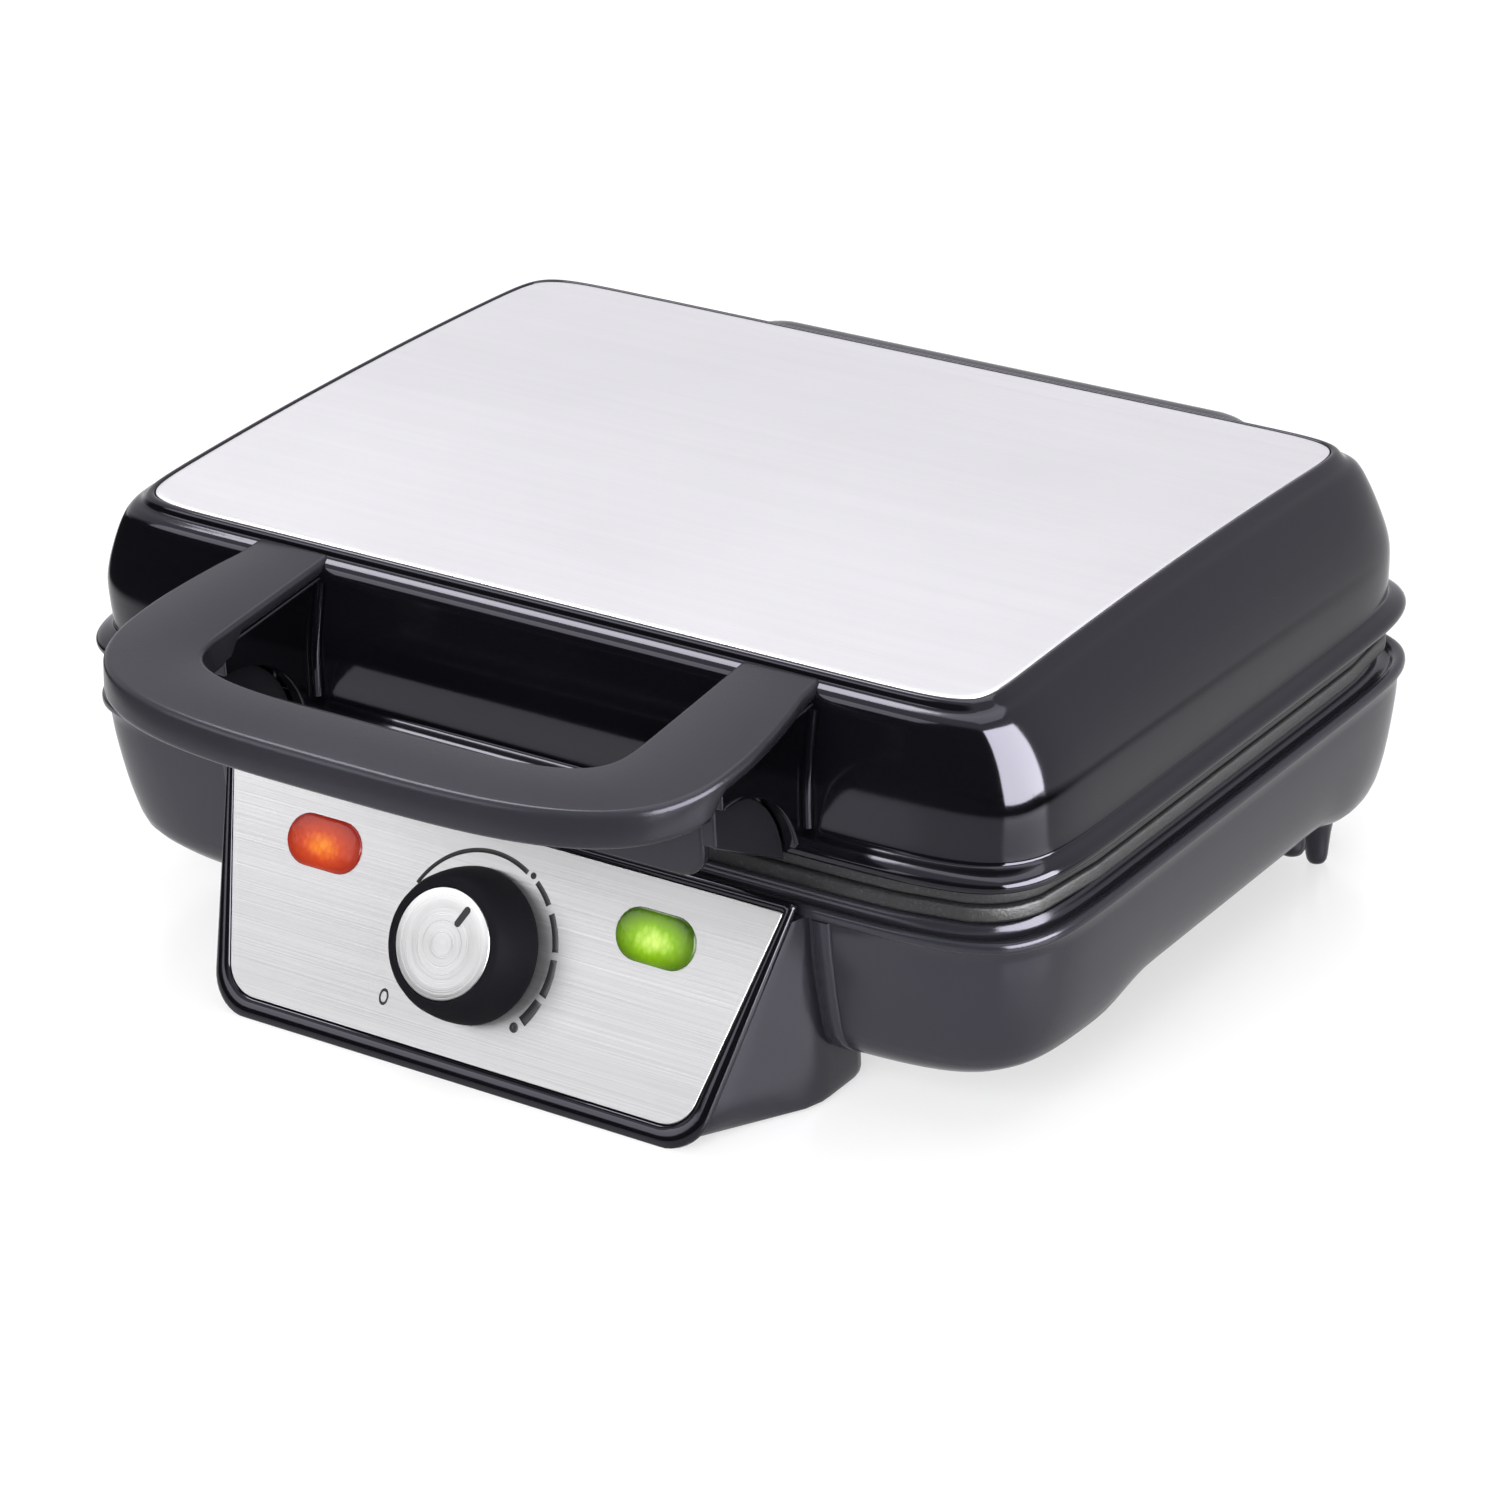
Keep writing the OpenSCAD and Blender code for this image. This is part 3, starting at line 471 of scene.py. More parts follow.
SHELL_FRONT = [  # height, and how far forward the beads' middle stands there
    (66.8, 88.15), (72, 88.0), (77, 87.7), (81, 87.0), (86, 85.8), (90.5, 84.7), (92.6, 84.2)]
for side, hand in HANDS:
    for place, x in (("outer", 76.1), ("inner", 54.9)):
        bead(f"web_bead_{place}_{hand}", [at(side * x, -front, z) for z, front in SHELL_FRONT], 1.15)
    outer_face = WEB_PLACES["outer"] + WEB
    lip_line = [at(side * outer_face, *on_arch(ARCH_RADIUS + 0.5, t)) for t in range(12, 95, 3)]
    bead(f"arch_lip_{hand}", lip_line, 0.5)


# ---------------------------------------------------------------- loop handle
# Satin black loop screwed to the front of the lid. Its top is flat and leans down to the front, its edges are
# rounded, and its bar is deeper than the two arms that run back over the webs.
ROOT = (-83.0, 97.0)
TILT = math.radians(5.7)
ARM_DEPTH, BAR_EXTRA = 4.0, 4.6
ARM_END, BAR_START = 33, 37  # how far forward of the root


def on_handle(x, forward, drop):
    """A point of the handle from its root: forward along the top, and down from it."""
    y = ROOT[0] - forward * math.cos(TILT) - drop * math.sin(TILT)
    z = ROOT[1] - forward * math.sin(TILT) - drop * math.cos(TILT)
    return at(x, y, z)


def loop_line(half, front, corner_start, square, root_half, count=34):
    """Half outline of the loop from the root to the middle of the bar, as (x, forward)."""
    spread = half - root_half
    line = [(root_half, -3.5), (root_half + spread * 0.12, 4)]
    for f, g in ((0.45, 0.35), (0.78, 0.65), (0.95, 0.88)):
        line.append((root_half + spread * f, corner_start * g))
    for i in range(count + 1):
        t = math.pi / 2 * i / count
        forward = corner_start + (front - corner_start) * math.sin(t) ** (2 / square)
        line.append((half * math.cos(t) ** (2 / square), forward))
    return line


def resampled(line, count):
    """The same line with evenly spaced points."""
    lengths = [0.0]
    for (x0, y0), (x1, y1) in zip(line, line[1:]):
        lengths.append(lengths[-1] + math.hypot(x1 - x0, y1 - y0))
    out = []
    j = 0
    for i in range(count + 1):
        want = lengths[-1] * i / count
        while j < len(line) - 2 and lengths[j + 1] < want:
            j += 1
        t = (want - lengths[j]) / max(1e-9, lengths[j + 1] - lengths[j])
        out.append(tuple(a + (b - a) * t for a, b in zip(line[j], line[j + 1])))
    return out


def handle_section(outer, inner, drop):
    """Closed section across the band, from its outer foot over the top to its inner foot and back."""
    span = Vector(outer) - Vector(inner)
    across = span.normalized()
    points = []

    def corner(base, sideways, radius, low, high, up):
        for i in range(5):
            t = math.radians(low + (high - low) * i / 4)
            offset = across * sideways * radius * (math.cos(t) - 1)
            depth = radius * (1 - math.sin(t)) if up else drop - radius * (1 - math.sin(t))
            points.append((*(base + offset), depth))

    corner(Vector(outer), 1, 2.0, 0, 90, False)
    points.reverse()
    corner(Vector(outer), 1, 1.5, 0, 90, True)
    corner(Vector(inner), -1, 1.3, 90, 0, True)
    corner(Vector(inner), -1, 1.8, 0, 90, False)
    return points


def smooth_share(value, none, full):
    """A share that leaves none and reaches full without a kink."""
    s = share(value, none, full)
    return s * s * (3 - 2 * s)


def loop_handle():
    steps = 56
    outer = resampled(loop_line(79.5, 68.1, 29, 3.2, 75.4), steps)
    inner = resampled(loop_line(55.5, 51.2, 30, 4.2, 55.4), steps)
    half = []
    for o, n in zip(outer, inner):
        forward = (o[1] + n[1]) / 2
        half.append(handle_section(o, n, ARM_DEPTH + BAR_EXTRA * smooth_share(forward, ARM_END, BAR_START)))
    sections = half + [[(-x, y, d) for x, y, d in section] for section in reversed(half[:-1])]
    rings = [[on_handle(*p) for p in section] for section in sections]
    band = skin("loop_handle", rings, SATIN, caps=(True, True), sharp=50)
    return fitted(band, "lid", "black_satin", "handle_loop")


loop_handle()


# ---------------------------------------------------------------- finger guard
# Satin black guard between the webs: a thin front wall with round lower corners, and a cheek at each end that
# fills the webs' arches.
def finger_guard():
    half, low, high, corner = 69.3, 64.6, 79.4, 6.5
    back, thick = -113.5, 3
    outline = [(-half, high), (-half, low + corner)]
    for c, s in map(cos_sin, range(10, 91, 10)):
        outline.append((-half + corner * (1 - c), low + corner * (1 - s)))
    outline += [(-x, z) for x, z in reversed(outline)]
    wall = slab("guard_front", [at(x, back, z) for x, z in outline], (0, -thick / 1000, 0), SATIN, 0.9)
    fitted(wall, "lid", "black_satin", "lower_grip")
    cheek_in, cheek_out, cheek_front = 59.4, 72.3, -116.1
    cheek = [(cheek_front, 57.5), (cheek_front, 82.8)]
    cheek += [on_arch(ARCH_RADIUS - 0.1, t) for t in range(88, 0, -4)]
    cheek += [(-91.6, 59.4), (-97, 61.2)]
    rim = [(y, max(z, 57.4 + max(0, -y - 88) * 0.55)) for y, z in cheek]  # its foot rises to the front
    for side, hand in HANDS:
        start = cheek_in if side > 0 else -cheek_out
        block = slab(f"guard_cheek_{hand}", [at(start, y, z) for y, z in rim],
                     ((cheek_out - cheek_in) / 1000, 0, 0), SATIN, 0.8)
        fitted(block, "lid", "black_satin")


finger_guard()


# ---------------------------------------------------------------- hinge cover
# Satin black hood behind the lid, over the two hinges. Its top and ends are rounded, and it is open below.
HOOD_FRONT = 80.5
HOOD_HALF, HOOD_BACK, HOOD_CORNER = 72, 113.95, 8
HOOD_SHOULDER, HOOD_ROUNDING = 79, 7


def hood_ring(half, back, corner, z):
    line = [(-half, HOOD_FRONT)]
    line += [(-half + corner * (1 - c), back - corner * (1 - s)) for c, s in map(cos_sin, range(0, 91, 9))]
    line += [(-x, y) for x, y in reversed(line)]
    return [at(x, y, z) for x, y in line]


def hinge_hood():
    rings = [hood_ring(69.5, 111.5, 5.5, z) for z in (82, 70, 64.9)]
    rings += [hood_ring(70.2, 112.2, 6.2, 64.4), hood_ring(71.4, 113.4, 7.4, 64.4)]
    rings += [hood_ring(HOOD_HALF, HOOD_BACK, HOOD_CORNER, z) for z in (65.1, 68, 74, HOOD_SHOULDER)]
    for c, s in map(cos_sin, range(10, 91, 10)):
        sunk, z = HOOD_ROUNDING * (1 - c), HOOD_SHOULDER + HOOD_ROUNDING * s
        rings.append(hood_ring(HOOD_HALF - sunk, HOOD_BACK - sunk, HOOD_CORNER, z))
    top = HOOD_SHOULDER + HOOD_ROUNDING
    rings += [hood_ring(60, 100, 8, top), hood_ring(30, 90, 4, top)]
    hood = skin("hinge_hood", rings, SATIN, caps=(True, True), sharp=45)
    return fitted(hood, "lid", "black_satin", "hinge_cover")


hinge_hood()


# ---------------------------------------------------------------- base shell
# Satin-gloss black tub that carries the lower plate. It narrows towards the table, its floor steps up behind
# the control box, and a groove and an inner lip run round inside its beaded rim.
RIM_HALF, RIM_DEEP, RIM_SQUARE = 130.5, 92, 10
STEP_UP, STEP_DOWN, STEP_HEIGHT = (-52, -30), (43, 61), 4.0
LIFT_NONE, LIFT_FULL = 36, 12  # heights between which the wall takes on the floor's step
WALLS = [  # height, and how far the sides and the front are sunk from the rim there
    (46.3, 1.25, 1.25), (41, 1.7, 1.5), (36.4, 2.25, 1.85), (29.3, 3.2, 2.7), (22.7, 4.5, 3.7),
    (17, 6.5, 4.9), (14, 10.2, 6.9), (12.5, 12.8, 8.6), (11.3, 15.8, 11), (10.7, 19.5, 14), (10.5, 26, 20),
    (10.5, 45, 36), (10.5, 80, 58), (10.5, 110, 80)]


def floor_lift(y):
    return STEP_HEIGHT * (smooth_share(y, *STEP_UP) - smooth_share(y, *STEP_DOWN))


def wall_at(x, z):
    """How far forward the tub's front wall stands at a place across and a height."""
    (z1, a1, b1), (z0, a0, b0) = next(pair for pair in zip(WALLS, WALLS[1:]) if z >= pair[1][0])
    t = (z - z0) / (z1 - z0)
    a, b = RIM_HALF - a0 - (a1 - a0) * t, RIM_DEEP - b0 - (b1 - b0) * t
    return -b * (1 - (x / a) ** RIM_SQUARE) ** (1 / RIM_SQUARE)


def base_shell():
    lip = [  # height, and how far it is sunk from the rim all round
        (30, 9.5), (40, 8.5), (49.6, 8.1), (50.5, 7.6), (50.7, 6.8), (50.3, 6.0), (48.6, 5.4), (48.1, 4.5),
        (48.2, 3.1), (49.2, 2.4), (49.7, 1.6), (49.75, 0.9), (49.3, 0.3), (48.4, 0.08), (47.4, 0.16),
        (46.9, 0.6)]
    rings = []
    for z, a, b in between_rows([(z, s, s) for z, s in lip] + WALLS, 2):
        lifted = share(z, LIFT_NONE, LIFT_FULL)
        outline = ring(RIM_HALF - a, RIM_DEEP - b, RIM_SQUARE)
        rings.append([at(x, y, z + floor_lift(y) * lifted) for x, y in outline])
    tub = skin("base_tub", rings, SHELL, caps=(False, True), sharp=55)
    return fitted(tub, "base", "black_gloss", "base_housing")


base_shell()


def hinge_ears():
    """The tub's two ears, which hold the hinge pins outside the lid's arms."""
    pin_y, pin_z, radius = 97.5, 56.3, 5.4
    inner, outer = 54.5, 62.3
    outline = [(84, 46.2), (pin_y, 46.2)]
    outline += [(pin_y + radius * s, pin_z - radius * c) for c, s in map(cos_sin, range(70, 251, 10))]
    outline += [(89.5, 50.2), (84, 49.4)]
    for side, hand in HANDS:
        start = inner if side > 0 else -outer
        ear = slab(f"hinge_ear_{hand}", [at(start, y, z) for y, z in outline],
                   ((outer - inner) / 1000, 0, 0), SHELL, 0.5)
        fitted(ear, "base", "black_gloss")


hinge_ears()


# ---------------------------------------------------------------- control box
# Satin black housing in front of the tub. Its front slopes back, its sides flare to the tub, and its heel
# runs on under the tub's floor. Beside it a raised band on the tub's wall covers the joint.
LEAN = math.radians(26.6)
FOOT = -121.0
PANEL_FOOT_HALF, PANEL_TOP_HALF, PANEL_LENGTH = 65, 77, 58.1
BOX_HALF = 76.9
BOX_LOW = -0.9  # the height at which the sloping front would meet FOOT
CREASE_Y = -90.5
HEEL_TOP, HEEL_BACK = 12, -69.5


def on_panel(x, along, out):
    """A point of the sloping front: across, up along the slope from the table, and out of it."""
    y = FOOT + along * math.sin(LEAN) - out * math.cos(LEAN)
    return at(x, y, along * math.cos(LEAN) + out * math.sin(LEAN))


def front_half_width(along):
    return PANEL_FOOT_HALF + (PANEL_TOP_HALF - PANEL_FOOT_HALF) * along / PANEL_LENGTH


def rounded_in(z, radius):
    """How much of its radius an edge that is rounded up to that height draws in, from 0 to 1."""
    drop = max(0, radius - z) / radius
    return 1 - math.sqrt(1 - drop * drop)


def control_box():
    foot_round, tuck_in, nose_round = 3, 1.5, 9
    rings = []
    for z in (0.9, 1.4, 2.6, 5, 8, 10, 11.5, 13, 16, 20, 27, 34, 40, 44, 47.2):
        rise = z - BOX_LOW
        front_y = FOOT + rise * math.tan(LEAN) + 1.6
        tuck = tuck_in * rounded_in(z, foot_round)
        half = front_half_width(rise / math.cos(LEAN)) - 0.7 - nose_round * rounded_in(z, nose_round)
        side = BOX_HALF - tuck
        crease_y = max(CREASE_Y, front_y + 4.2)
        right = [(half, front_y), (half + 0.55, front_y + 0.6)]
        right += [(half + 0.55 + (side - 0.2 - half) * t, front_y + 0.6 + (crease_y - front_y - 0.6) * t)
                  for t in (0.25, 0.5, 0.75, 0.92)]
        back = HEEL_BACK - tuck if z < HEEL_TOP else wall_at(BOX_HALF, z) + 3
        turn = 6 if z < HEEL_TOP else 1.2
        right += [(side + 0.4, crease_y + 2.2), (side + 0.55, min(crease_y + 5, back - turn - 0.6))]
        right += [(side + 0.55 - turn * (1 - c), back - turn * (1 - s))
                  for c, s in map(cos_sin, (0, 22, 45, 68, 90))]
        rings.append([at(x, y, z) for x, y in [(-x, y) for x, y in reversed(right)] + right])
    housing = skin("control_housing", rings, SHELL, caps=(True, True), sharp=32)
    return fitted(housing, "base", "black_satin", "control_box")


def joint_band(side, hand):
    """The raised band on the tub's wall beside the box."""
    near, far, sunk = 78.2, 82.5, -0.5
    rings = []
    for z in (46.8, 44, 40, 34, 28, 22, 18, 15.5, 13.6, 12.4):
        deep = 0.9 if z > 14 else 0.5
        profile = ((near, sunk), (near, deep - 0.4), (near + 0.4, deep), (far - 0.5, deep), (far, deep - 0.4),
                   (far, sunk))
        rings.append([at(side * x, wall_at(x, z) - out, z) for x, out in profile])
    band = skin(f"joint_band_{hand}", rings, SHELL, caps=(True, True), sharp=60)
    return fitted(band, "base", "black_satin")


control_box()
for side, hand in HANDS:
    joint_band(side, hand)


# ---------------------------------------------------------------- panel frame
# Gloss black frame, rounded in section, that holds the steel panel in the sloping front. The lower edge of
# its foot rail is cut level, just clear of the table.
TABLE_GAP = 0.0001  # metres
FRAME_SECTION = [  # share of the way from the outer to the inner outline, and how far out of the slope
    (0, -1.4), (0, -0.4), (0.12, 0.1), (0.35, 0.35), (0.65, 0.35), (0.9, 0.1), (1, -0.4), (1, -1.4)]


def trapezoid(top_half, foot_half, low, high, corner, top_corner, count=9):
    """Outline of the sloping front, from its top right corner clockwise, with round foot corners."""
    slope = math.atan2(top_half - foot_half, high - low)
    centre_x = foot_half + corner * math.tan(slope) - corner / math.cos(slope)
    centre_y = low + corner
    right = [(top_half - top_corner, high), (top_half - top_corner * 0.3, high - top_corner * 0.3),
             (top_half - top_corner * math.sin(slope), high - top_corner)]
    for i in range(count + 1):
        t = -slope - (math.pi / 2 - slope) * i / count
        right.append((centre_x + corner * math.cos(t), centre_y + corner * math.sin(t)))
    return right + [(-x, y) for x, y in reversed(right)]


def panel_frame():
    outer = trapezoid(PANEL_TOP_HALF, 65.6, 0.15, 58, 11, 1.2)
    inner = trapezoid(74.55, 62.1, 4.9, 55.6, 8.6, 0.8)
    rings = []
    for step, out in FRAME_SECTION:
        rings.append([on_panel(a[0] + (b[0] - a[0]) * step, a[1] + (b[1] - a[1]) * step, out)
                      for a, b in zip(outer, inner)])
        for p in rings[-1]:
            p.z = max(p.z, TABLE_GAP)
    frame_piece = skin("panel_frame", rings, GLOSS, close=True, sharp=50)
    return fitted(frame_piece, "base", "black_gloss", "panel_bezel")


panel_frame()


# ---------------------------------------------------------------- steel panel and dial
# Stainless sheet brushed across, let into the frame. Its dial is printed in black round the knob: a thin arc,
# growing dashes, two dots and a nought. The words beside the lenses are left out.
KNOB_ALONG = 30.4
PANEL_MIDDLE = 30
INK_PROUD, INK_THICK = 0.03, 0.04
# Near-black ink of the dial's print, also used as painted shade for the groove of the knob's pointer.
INK_AND_GROOVE_SHADE = dull("dial_ink_and_groove_shade", (0.006, 0.006, 0.007), (0.012, 0.012, 0.013), 0.6)
PANEL_STEEL = brushed("panel_steel", colour=((0.4, 0.4, 0.41), (0.76, 0.755, 0.765)), rough=0.34)


def steel_panel():
    outline = trapezoid(74.35, 61.9, 5.1, 55.4, 8.4, 0.7)
    rings = [[on_panel(x, y, out) for x, y in outline] for out in (-0.7, -0.12)]
    rings.append([on_panel(x * 0.9985, PANEL_MIDDLE + (y - PANEL_MIDDLE) * 0.996, 0.0) for x, y in outline])
    piece = skin("steel_panel", rings, PANEL_STEEL, caps=(True, True), sharp=30)
    return fitted(piece, "base", "brushed_steel", "control_panel")


steel_panel()


def printed(name, lines):
    """Ink laid on the panel: each line is a list of (inner, outer) pairs of points across it."""
    mesh = bpy.data.meshes.new(name)
    verts, faces = [], []
    for line in lines:
        start = len(verts)
        for low, high in line:
            for x, y in (low, high):
                verts.append(on_panel(x, y, INK_PROUD))
        for i in range(len(line) - 1):
            k = start + 2 * i
            faces.append((k, k + 1, k + 3, k + 2))
    mesh.from_pydata([tuple(v) for v in verts], [], faces)
    piece = dressed(name, mesh, INK_AND_GROOVE_SHADE)
    thick = piece.modifiers.new("ink", "SOLIDIFY")
    thick.thickness = INK_THICK / 1000
    thick.offset = 0
    return fitted(piece, "base", "black_satin")


def dial():
    dot_hole, disc_steps = 0.001, 28

    def spot(angle, radius):
        c, s = cos_sin(angle)
        return radius * s, KNOB_ALONG + radius * c

    def sweep(a0, a1, radius, w0, w1, count):
        """A stroke round the knob from one angle to another, whose width grows from w0 to w1."""
        out = []
        for i in range(count + 1):
            f = i / count
            w = (w0 + (w1 - w0) * f) / 2
            a = a0 + (a1 - a0) * f
            out.append((spot(a, radius - w), spot(a, radius + w)))
        return out

    def disc(angle, radius, size, hole=dot_hole, tall=1.0):
        """A dot, or a ring where a hole is given, that may be taller than wide."""
        cx, cy = spot(angle, radius)
        out = []
        for i in range(disc_steps + 1):
            t = 2 * math.pi * i / disc_steps
            x, y = math.sin(t), tall * math.cos(t)
            out.append(((cx + hole * x, cy + hole * y), (cx + size * x, cy + size * y)))
        return out

    return printed("dial_print", [
        sweep(-62, 27, 20.8, 0.85, 1.15, 32), disc(31.3, 21.3, 0.75), sweep(36, 52, 21, 1.2, 1.35, 8),
        sweep(57.6, 80.5, 21, 1.45, 1.6, 10), sweep(85, 108, 20.9, 1.7, 2.0, 10),
        sweep(112, 129, 20.7, 2.1, 2.5, 9), disc(135.6, 20.6, 1.15), disc(-128.5, 26.5, 1.25, 0.8, 1.5)])


dial()


# ---------------------------------------------------------------- indicator lenses
# Clear tinted plastic lenses with a domed face, moulded with small prisms inside that spread the neon's glow:
# red at the left for power, green at the right for ready.
LENS_X, LENS_ALONG = 45, 42.8
LENS_FLAT, LENS_RADIUS = 4.4, 5.9


def lens_finish(name, x, deep, tint, heart):
    """Tinted plastic with prisms, that glows from deep at its rim to heart at its middle."""
    made = Finish(name, Specular_IOR_Level=0.2, Roughness=0.22)
    centre = made.node("ShaderNodeMapping", {"vector_type": "TEXTURE"}, {
        "Vector": made.place(), "Location": on_panel(x, LENS_ALONG - 0.5, 0), "Scale": (1.7, 1, 1)})
    spread = made.node("ShaderNodeVectorMath", {"operation": "LENGTH"}, {0: centre}, "Value")
    cells = made.node("ShaderNodeTexVoronoi", {}, {
        "Vector": made.stretched(1, 0.6, 0.6), "Scale": 900}, "Distance")
    near = 1 - spread.over(0.0006, 0.0066)
    bright = near - cells * near * 0.35 + cells * 0.08
    colour = made.between(bright.over(0.05, 0.55), deep, made.between(bright.over(0.5, 0.95), tint, heart))
    made.shaded(Base_Color=colour, Emission_Color=colour)
    made.feed(made.shader, {"Emission Strength": 0.2, "Coat Weight": 0.06, "Coat Roughness": 0.08})
    return made.relief(cells, 0.2, 0.0003).material


def stadium(half, radius, count=14):
    """Outline of a lens: two half circles joined by straight edges."""
    right = []
    for i in range(count + 1):
        t = math.pi * i / count
        right.append((half + radius * math.sin(t), radius * math.cos(t)))
    return right + [(-x, y) for x, y in reversed(right)]


def lens_piece(name, centre, material, slot, node):
    dome = [  # how far in from the edge, and how far out of the panel
        (0, -1.1), (0, 0.1), (0.12, 0.35), (0.4, 0.55), (0.9, 0.68), (2.2, 0.8), (3.8, 0.86), (5.6, 0.88)]
    rings = []
    for shrink, out in dome:
        outline = stadium(LENS_FLAT, LENS_RADIUS - shrink)
        rings.append([on_panel(centre + x, LENS_ALONG + y, out) for x, y in outline])
    return fitted(skin(name, rings, material, caps=(True, True), sharp=60), "base", slot, node)


RED = lens_finish("red_lens", -LENS_X, (0.2, 0.012, 0.008), (0.42, 0.045, 0.01), (0.66, 0.19, 0.012))
GREEN = lens_finish("green_lens", LENS_X, (0.025, 0.06, 0.004), (0.17, 0.34, 0.004), (0.5, 0.66, 0.14))
lens_piece("power_window", -LENS_X, RED, "red_lens", "power_lens")
lens_piece("ready_window", LENS_X, GREEN, "green_lens", "ready_lens")


# ---------------------------------------------------------------- knob
# Satin black thermostat knob with a flared skirt, and a spun aluminium disc let into its face. A short groove
# in the disc points at the dial; the shade in it is painted, as a near-black sliver.
CAP_TURN = 28.7
CAP_FACE = 12.56


def turned(name, profile, material, count=96):
    """A round piece on the knob's axis, from (radius, out) pairs."""
    rings = [[on_panel(r * math.sin(t), KNOB_ALONG + r * math.cos(t), out)
              for t in (2 * math.pi * i / count for i in range(count))] for r, out in profile]
    return skin(name, rings, material, caps=(True, True), sharp=35)


def knob():
    skirt = [(13.2, 0.6), (16.6, 0.6), (17.1, 0.75), (17.35, 1.3), (17.3, 2.4), (17.05, 4.5), (16.55, 7)]
    shoulder = [(15.9, 9.4), (15.2, 10.8), (14.7, 11.8), (14.1, 12.35), (13.4, 12.6)]
    seat = [(12.75, 12.6), (12.5, 12.4), (12.45, 11.6)]
    fitted(turned("knob_body", skirt + shoulder + seat, KNOB_BLACK), "knob", "black_satin", "knob")


def knob_disc():
    made = Finish("spun_disc", Metallic=1.0)
    middle = made.node("ShaderNodeMapping", {"vector_type": "TEXTURE"}, {
        "Vector": made.place(), "Location": on_panel(0, KNOB_ALONG, 12.5)})
    radius = made.node("ShaderNodeVectorMath", {"operation": "LENGTH"}, {0: middle}, "Value")

    def grooves(scale, detail):
        """Rings round the axis, as a lathe's tool leaves them."""
        return made.node("ShaderNodeTexNoise", {"noise_dimensions": "1D"}, {
            "W": radius, "Scale": scale, "Detail": detail})

    fine, broad = grooves(5200.0, 1.5), grooves(700.0, 1.0)
    spun = fine * 0.6 + broad * 0.4
    made.shaded(Base_Color=made.between(spun, (0.42, 0.42, 0.425), (0.6, 0.6, 0.605)),
                Roughness=fine * 0.12 + 0.24)
    made.relief(spun, 0.25, 0.0002)
    rim = [(12.3, 11.7), (12.35, 12.3), (12.2, 12.52), (11.9, CAP_FACE)]
    face = [(r, CAP_FACE) for r in (9, 6, 3, 0.3)]
    fitted(turned("knob_disc", rim + face, made.material), "knob", "spun_aluminium", "knob_cap")


def knob_pointer():
    """The groove in the disc, drawn as a near-black sliver that stands a hair proud of it: painted shade of
    the groove.
    """
    c, s = cos_sin(CAP_TURN)
    up, across = Vector((s, c)), Vector((c, -s))
    groove = [  # how far from the axis, and to the side
        (5.7, -0.8), (5.2, -0.4), (5.2, 0.4), (5.7, 0.8),
        (9.9, 0.85), (10.5, 0.4), (10.5, -0.4), (9.9, -0.85)]
    outline = [up * r + across * w for r, w in groove]
    # The sliver's near-black colour is painted shade, standing in for the dark of a real recess.
    mark = slab("knob_pointer", [on_panel(p.x, KNOB_ALONG + p.y, CAP_FACE - 0.01) for p in outline],
                on_panel(0, 0, 0.06) - on_panel(0, 0, 0), INK_AND_GROOVE_SHADE, 0.01, 1)
    fitted(mark, "knob", "black_satin")


knob()
knob_disc()
knob_pointer()


# ---------------------------------------------------------------- cooking plates
# Two die-cast plates with a dark non-stick coating. Each has a flat flange and two hollows, whose tapered
# pegs press the squares into the waffles. The upper one is the lower one turned over.
PART = 56.3  # the height at which the two plates meet
FLANGE, HOLLOW, PEG = 0, 1, 2
GRID_HALF, GRID_DEEP = 112.5, 72.5
HOLLOW_START, HOLLOW_WIDE, HOLLOW_DEEP = 3, 106, 134
HOLLOW_DRAFT, PEG_DRAFT, PEG_MARGIN = 1.1, 1.0, 0.16
PLATE_RIM = [  # half width, half depth, squareness, and distance from the parting height
    (118, 78.5, 16, 0.25), (124.5, 85.9, 11, 0.25), (126.2, 87.7, 10, 0.3), (126.75, 88.25, 10, 0.6),
    (126.95, 88.45, 10, 1.2), (126.95, 88.45, 10, 3.4), (126.7, 88.2, 10, 3.9), (126, 87.5, 10, 4.1),
    (119.5, 80.9, 11, 4.15), (118.3, 79.7, 11, 4.6), (117.6, 79, 11, 11.6), (116.5, 78, 11, 12.3),
    (60, 40, 6, 12.3)]


def peg_lines(start, size, count):
    """Lines of a plate's grid across one hollow, as (place, what the plate is there)."""
    pitch = size / count
    lines = [(start, FLANGE), (start + HOLLOW_DRAFT, HOLLOW)]
    for i in range(count):
        low, high = start + pitch * (i + PEG_MARGIN), start + pitch * (i + 1 - PEG_MARGIN)
        lines += [(low, HOLLOW), (low + PEG_DRAFT, PEG), (high - PEG_DRAFT, PEG), (high, HOLLOW)]
    return lines + [(start + size - HOLLOW_DRAFT, HOLLOW), (start + size, FLANGE)]


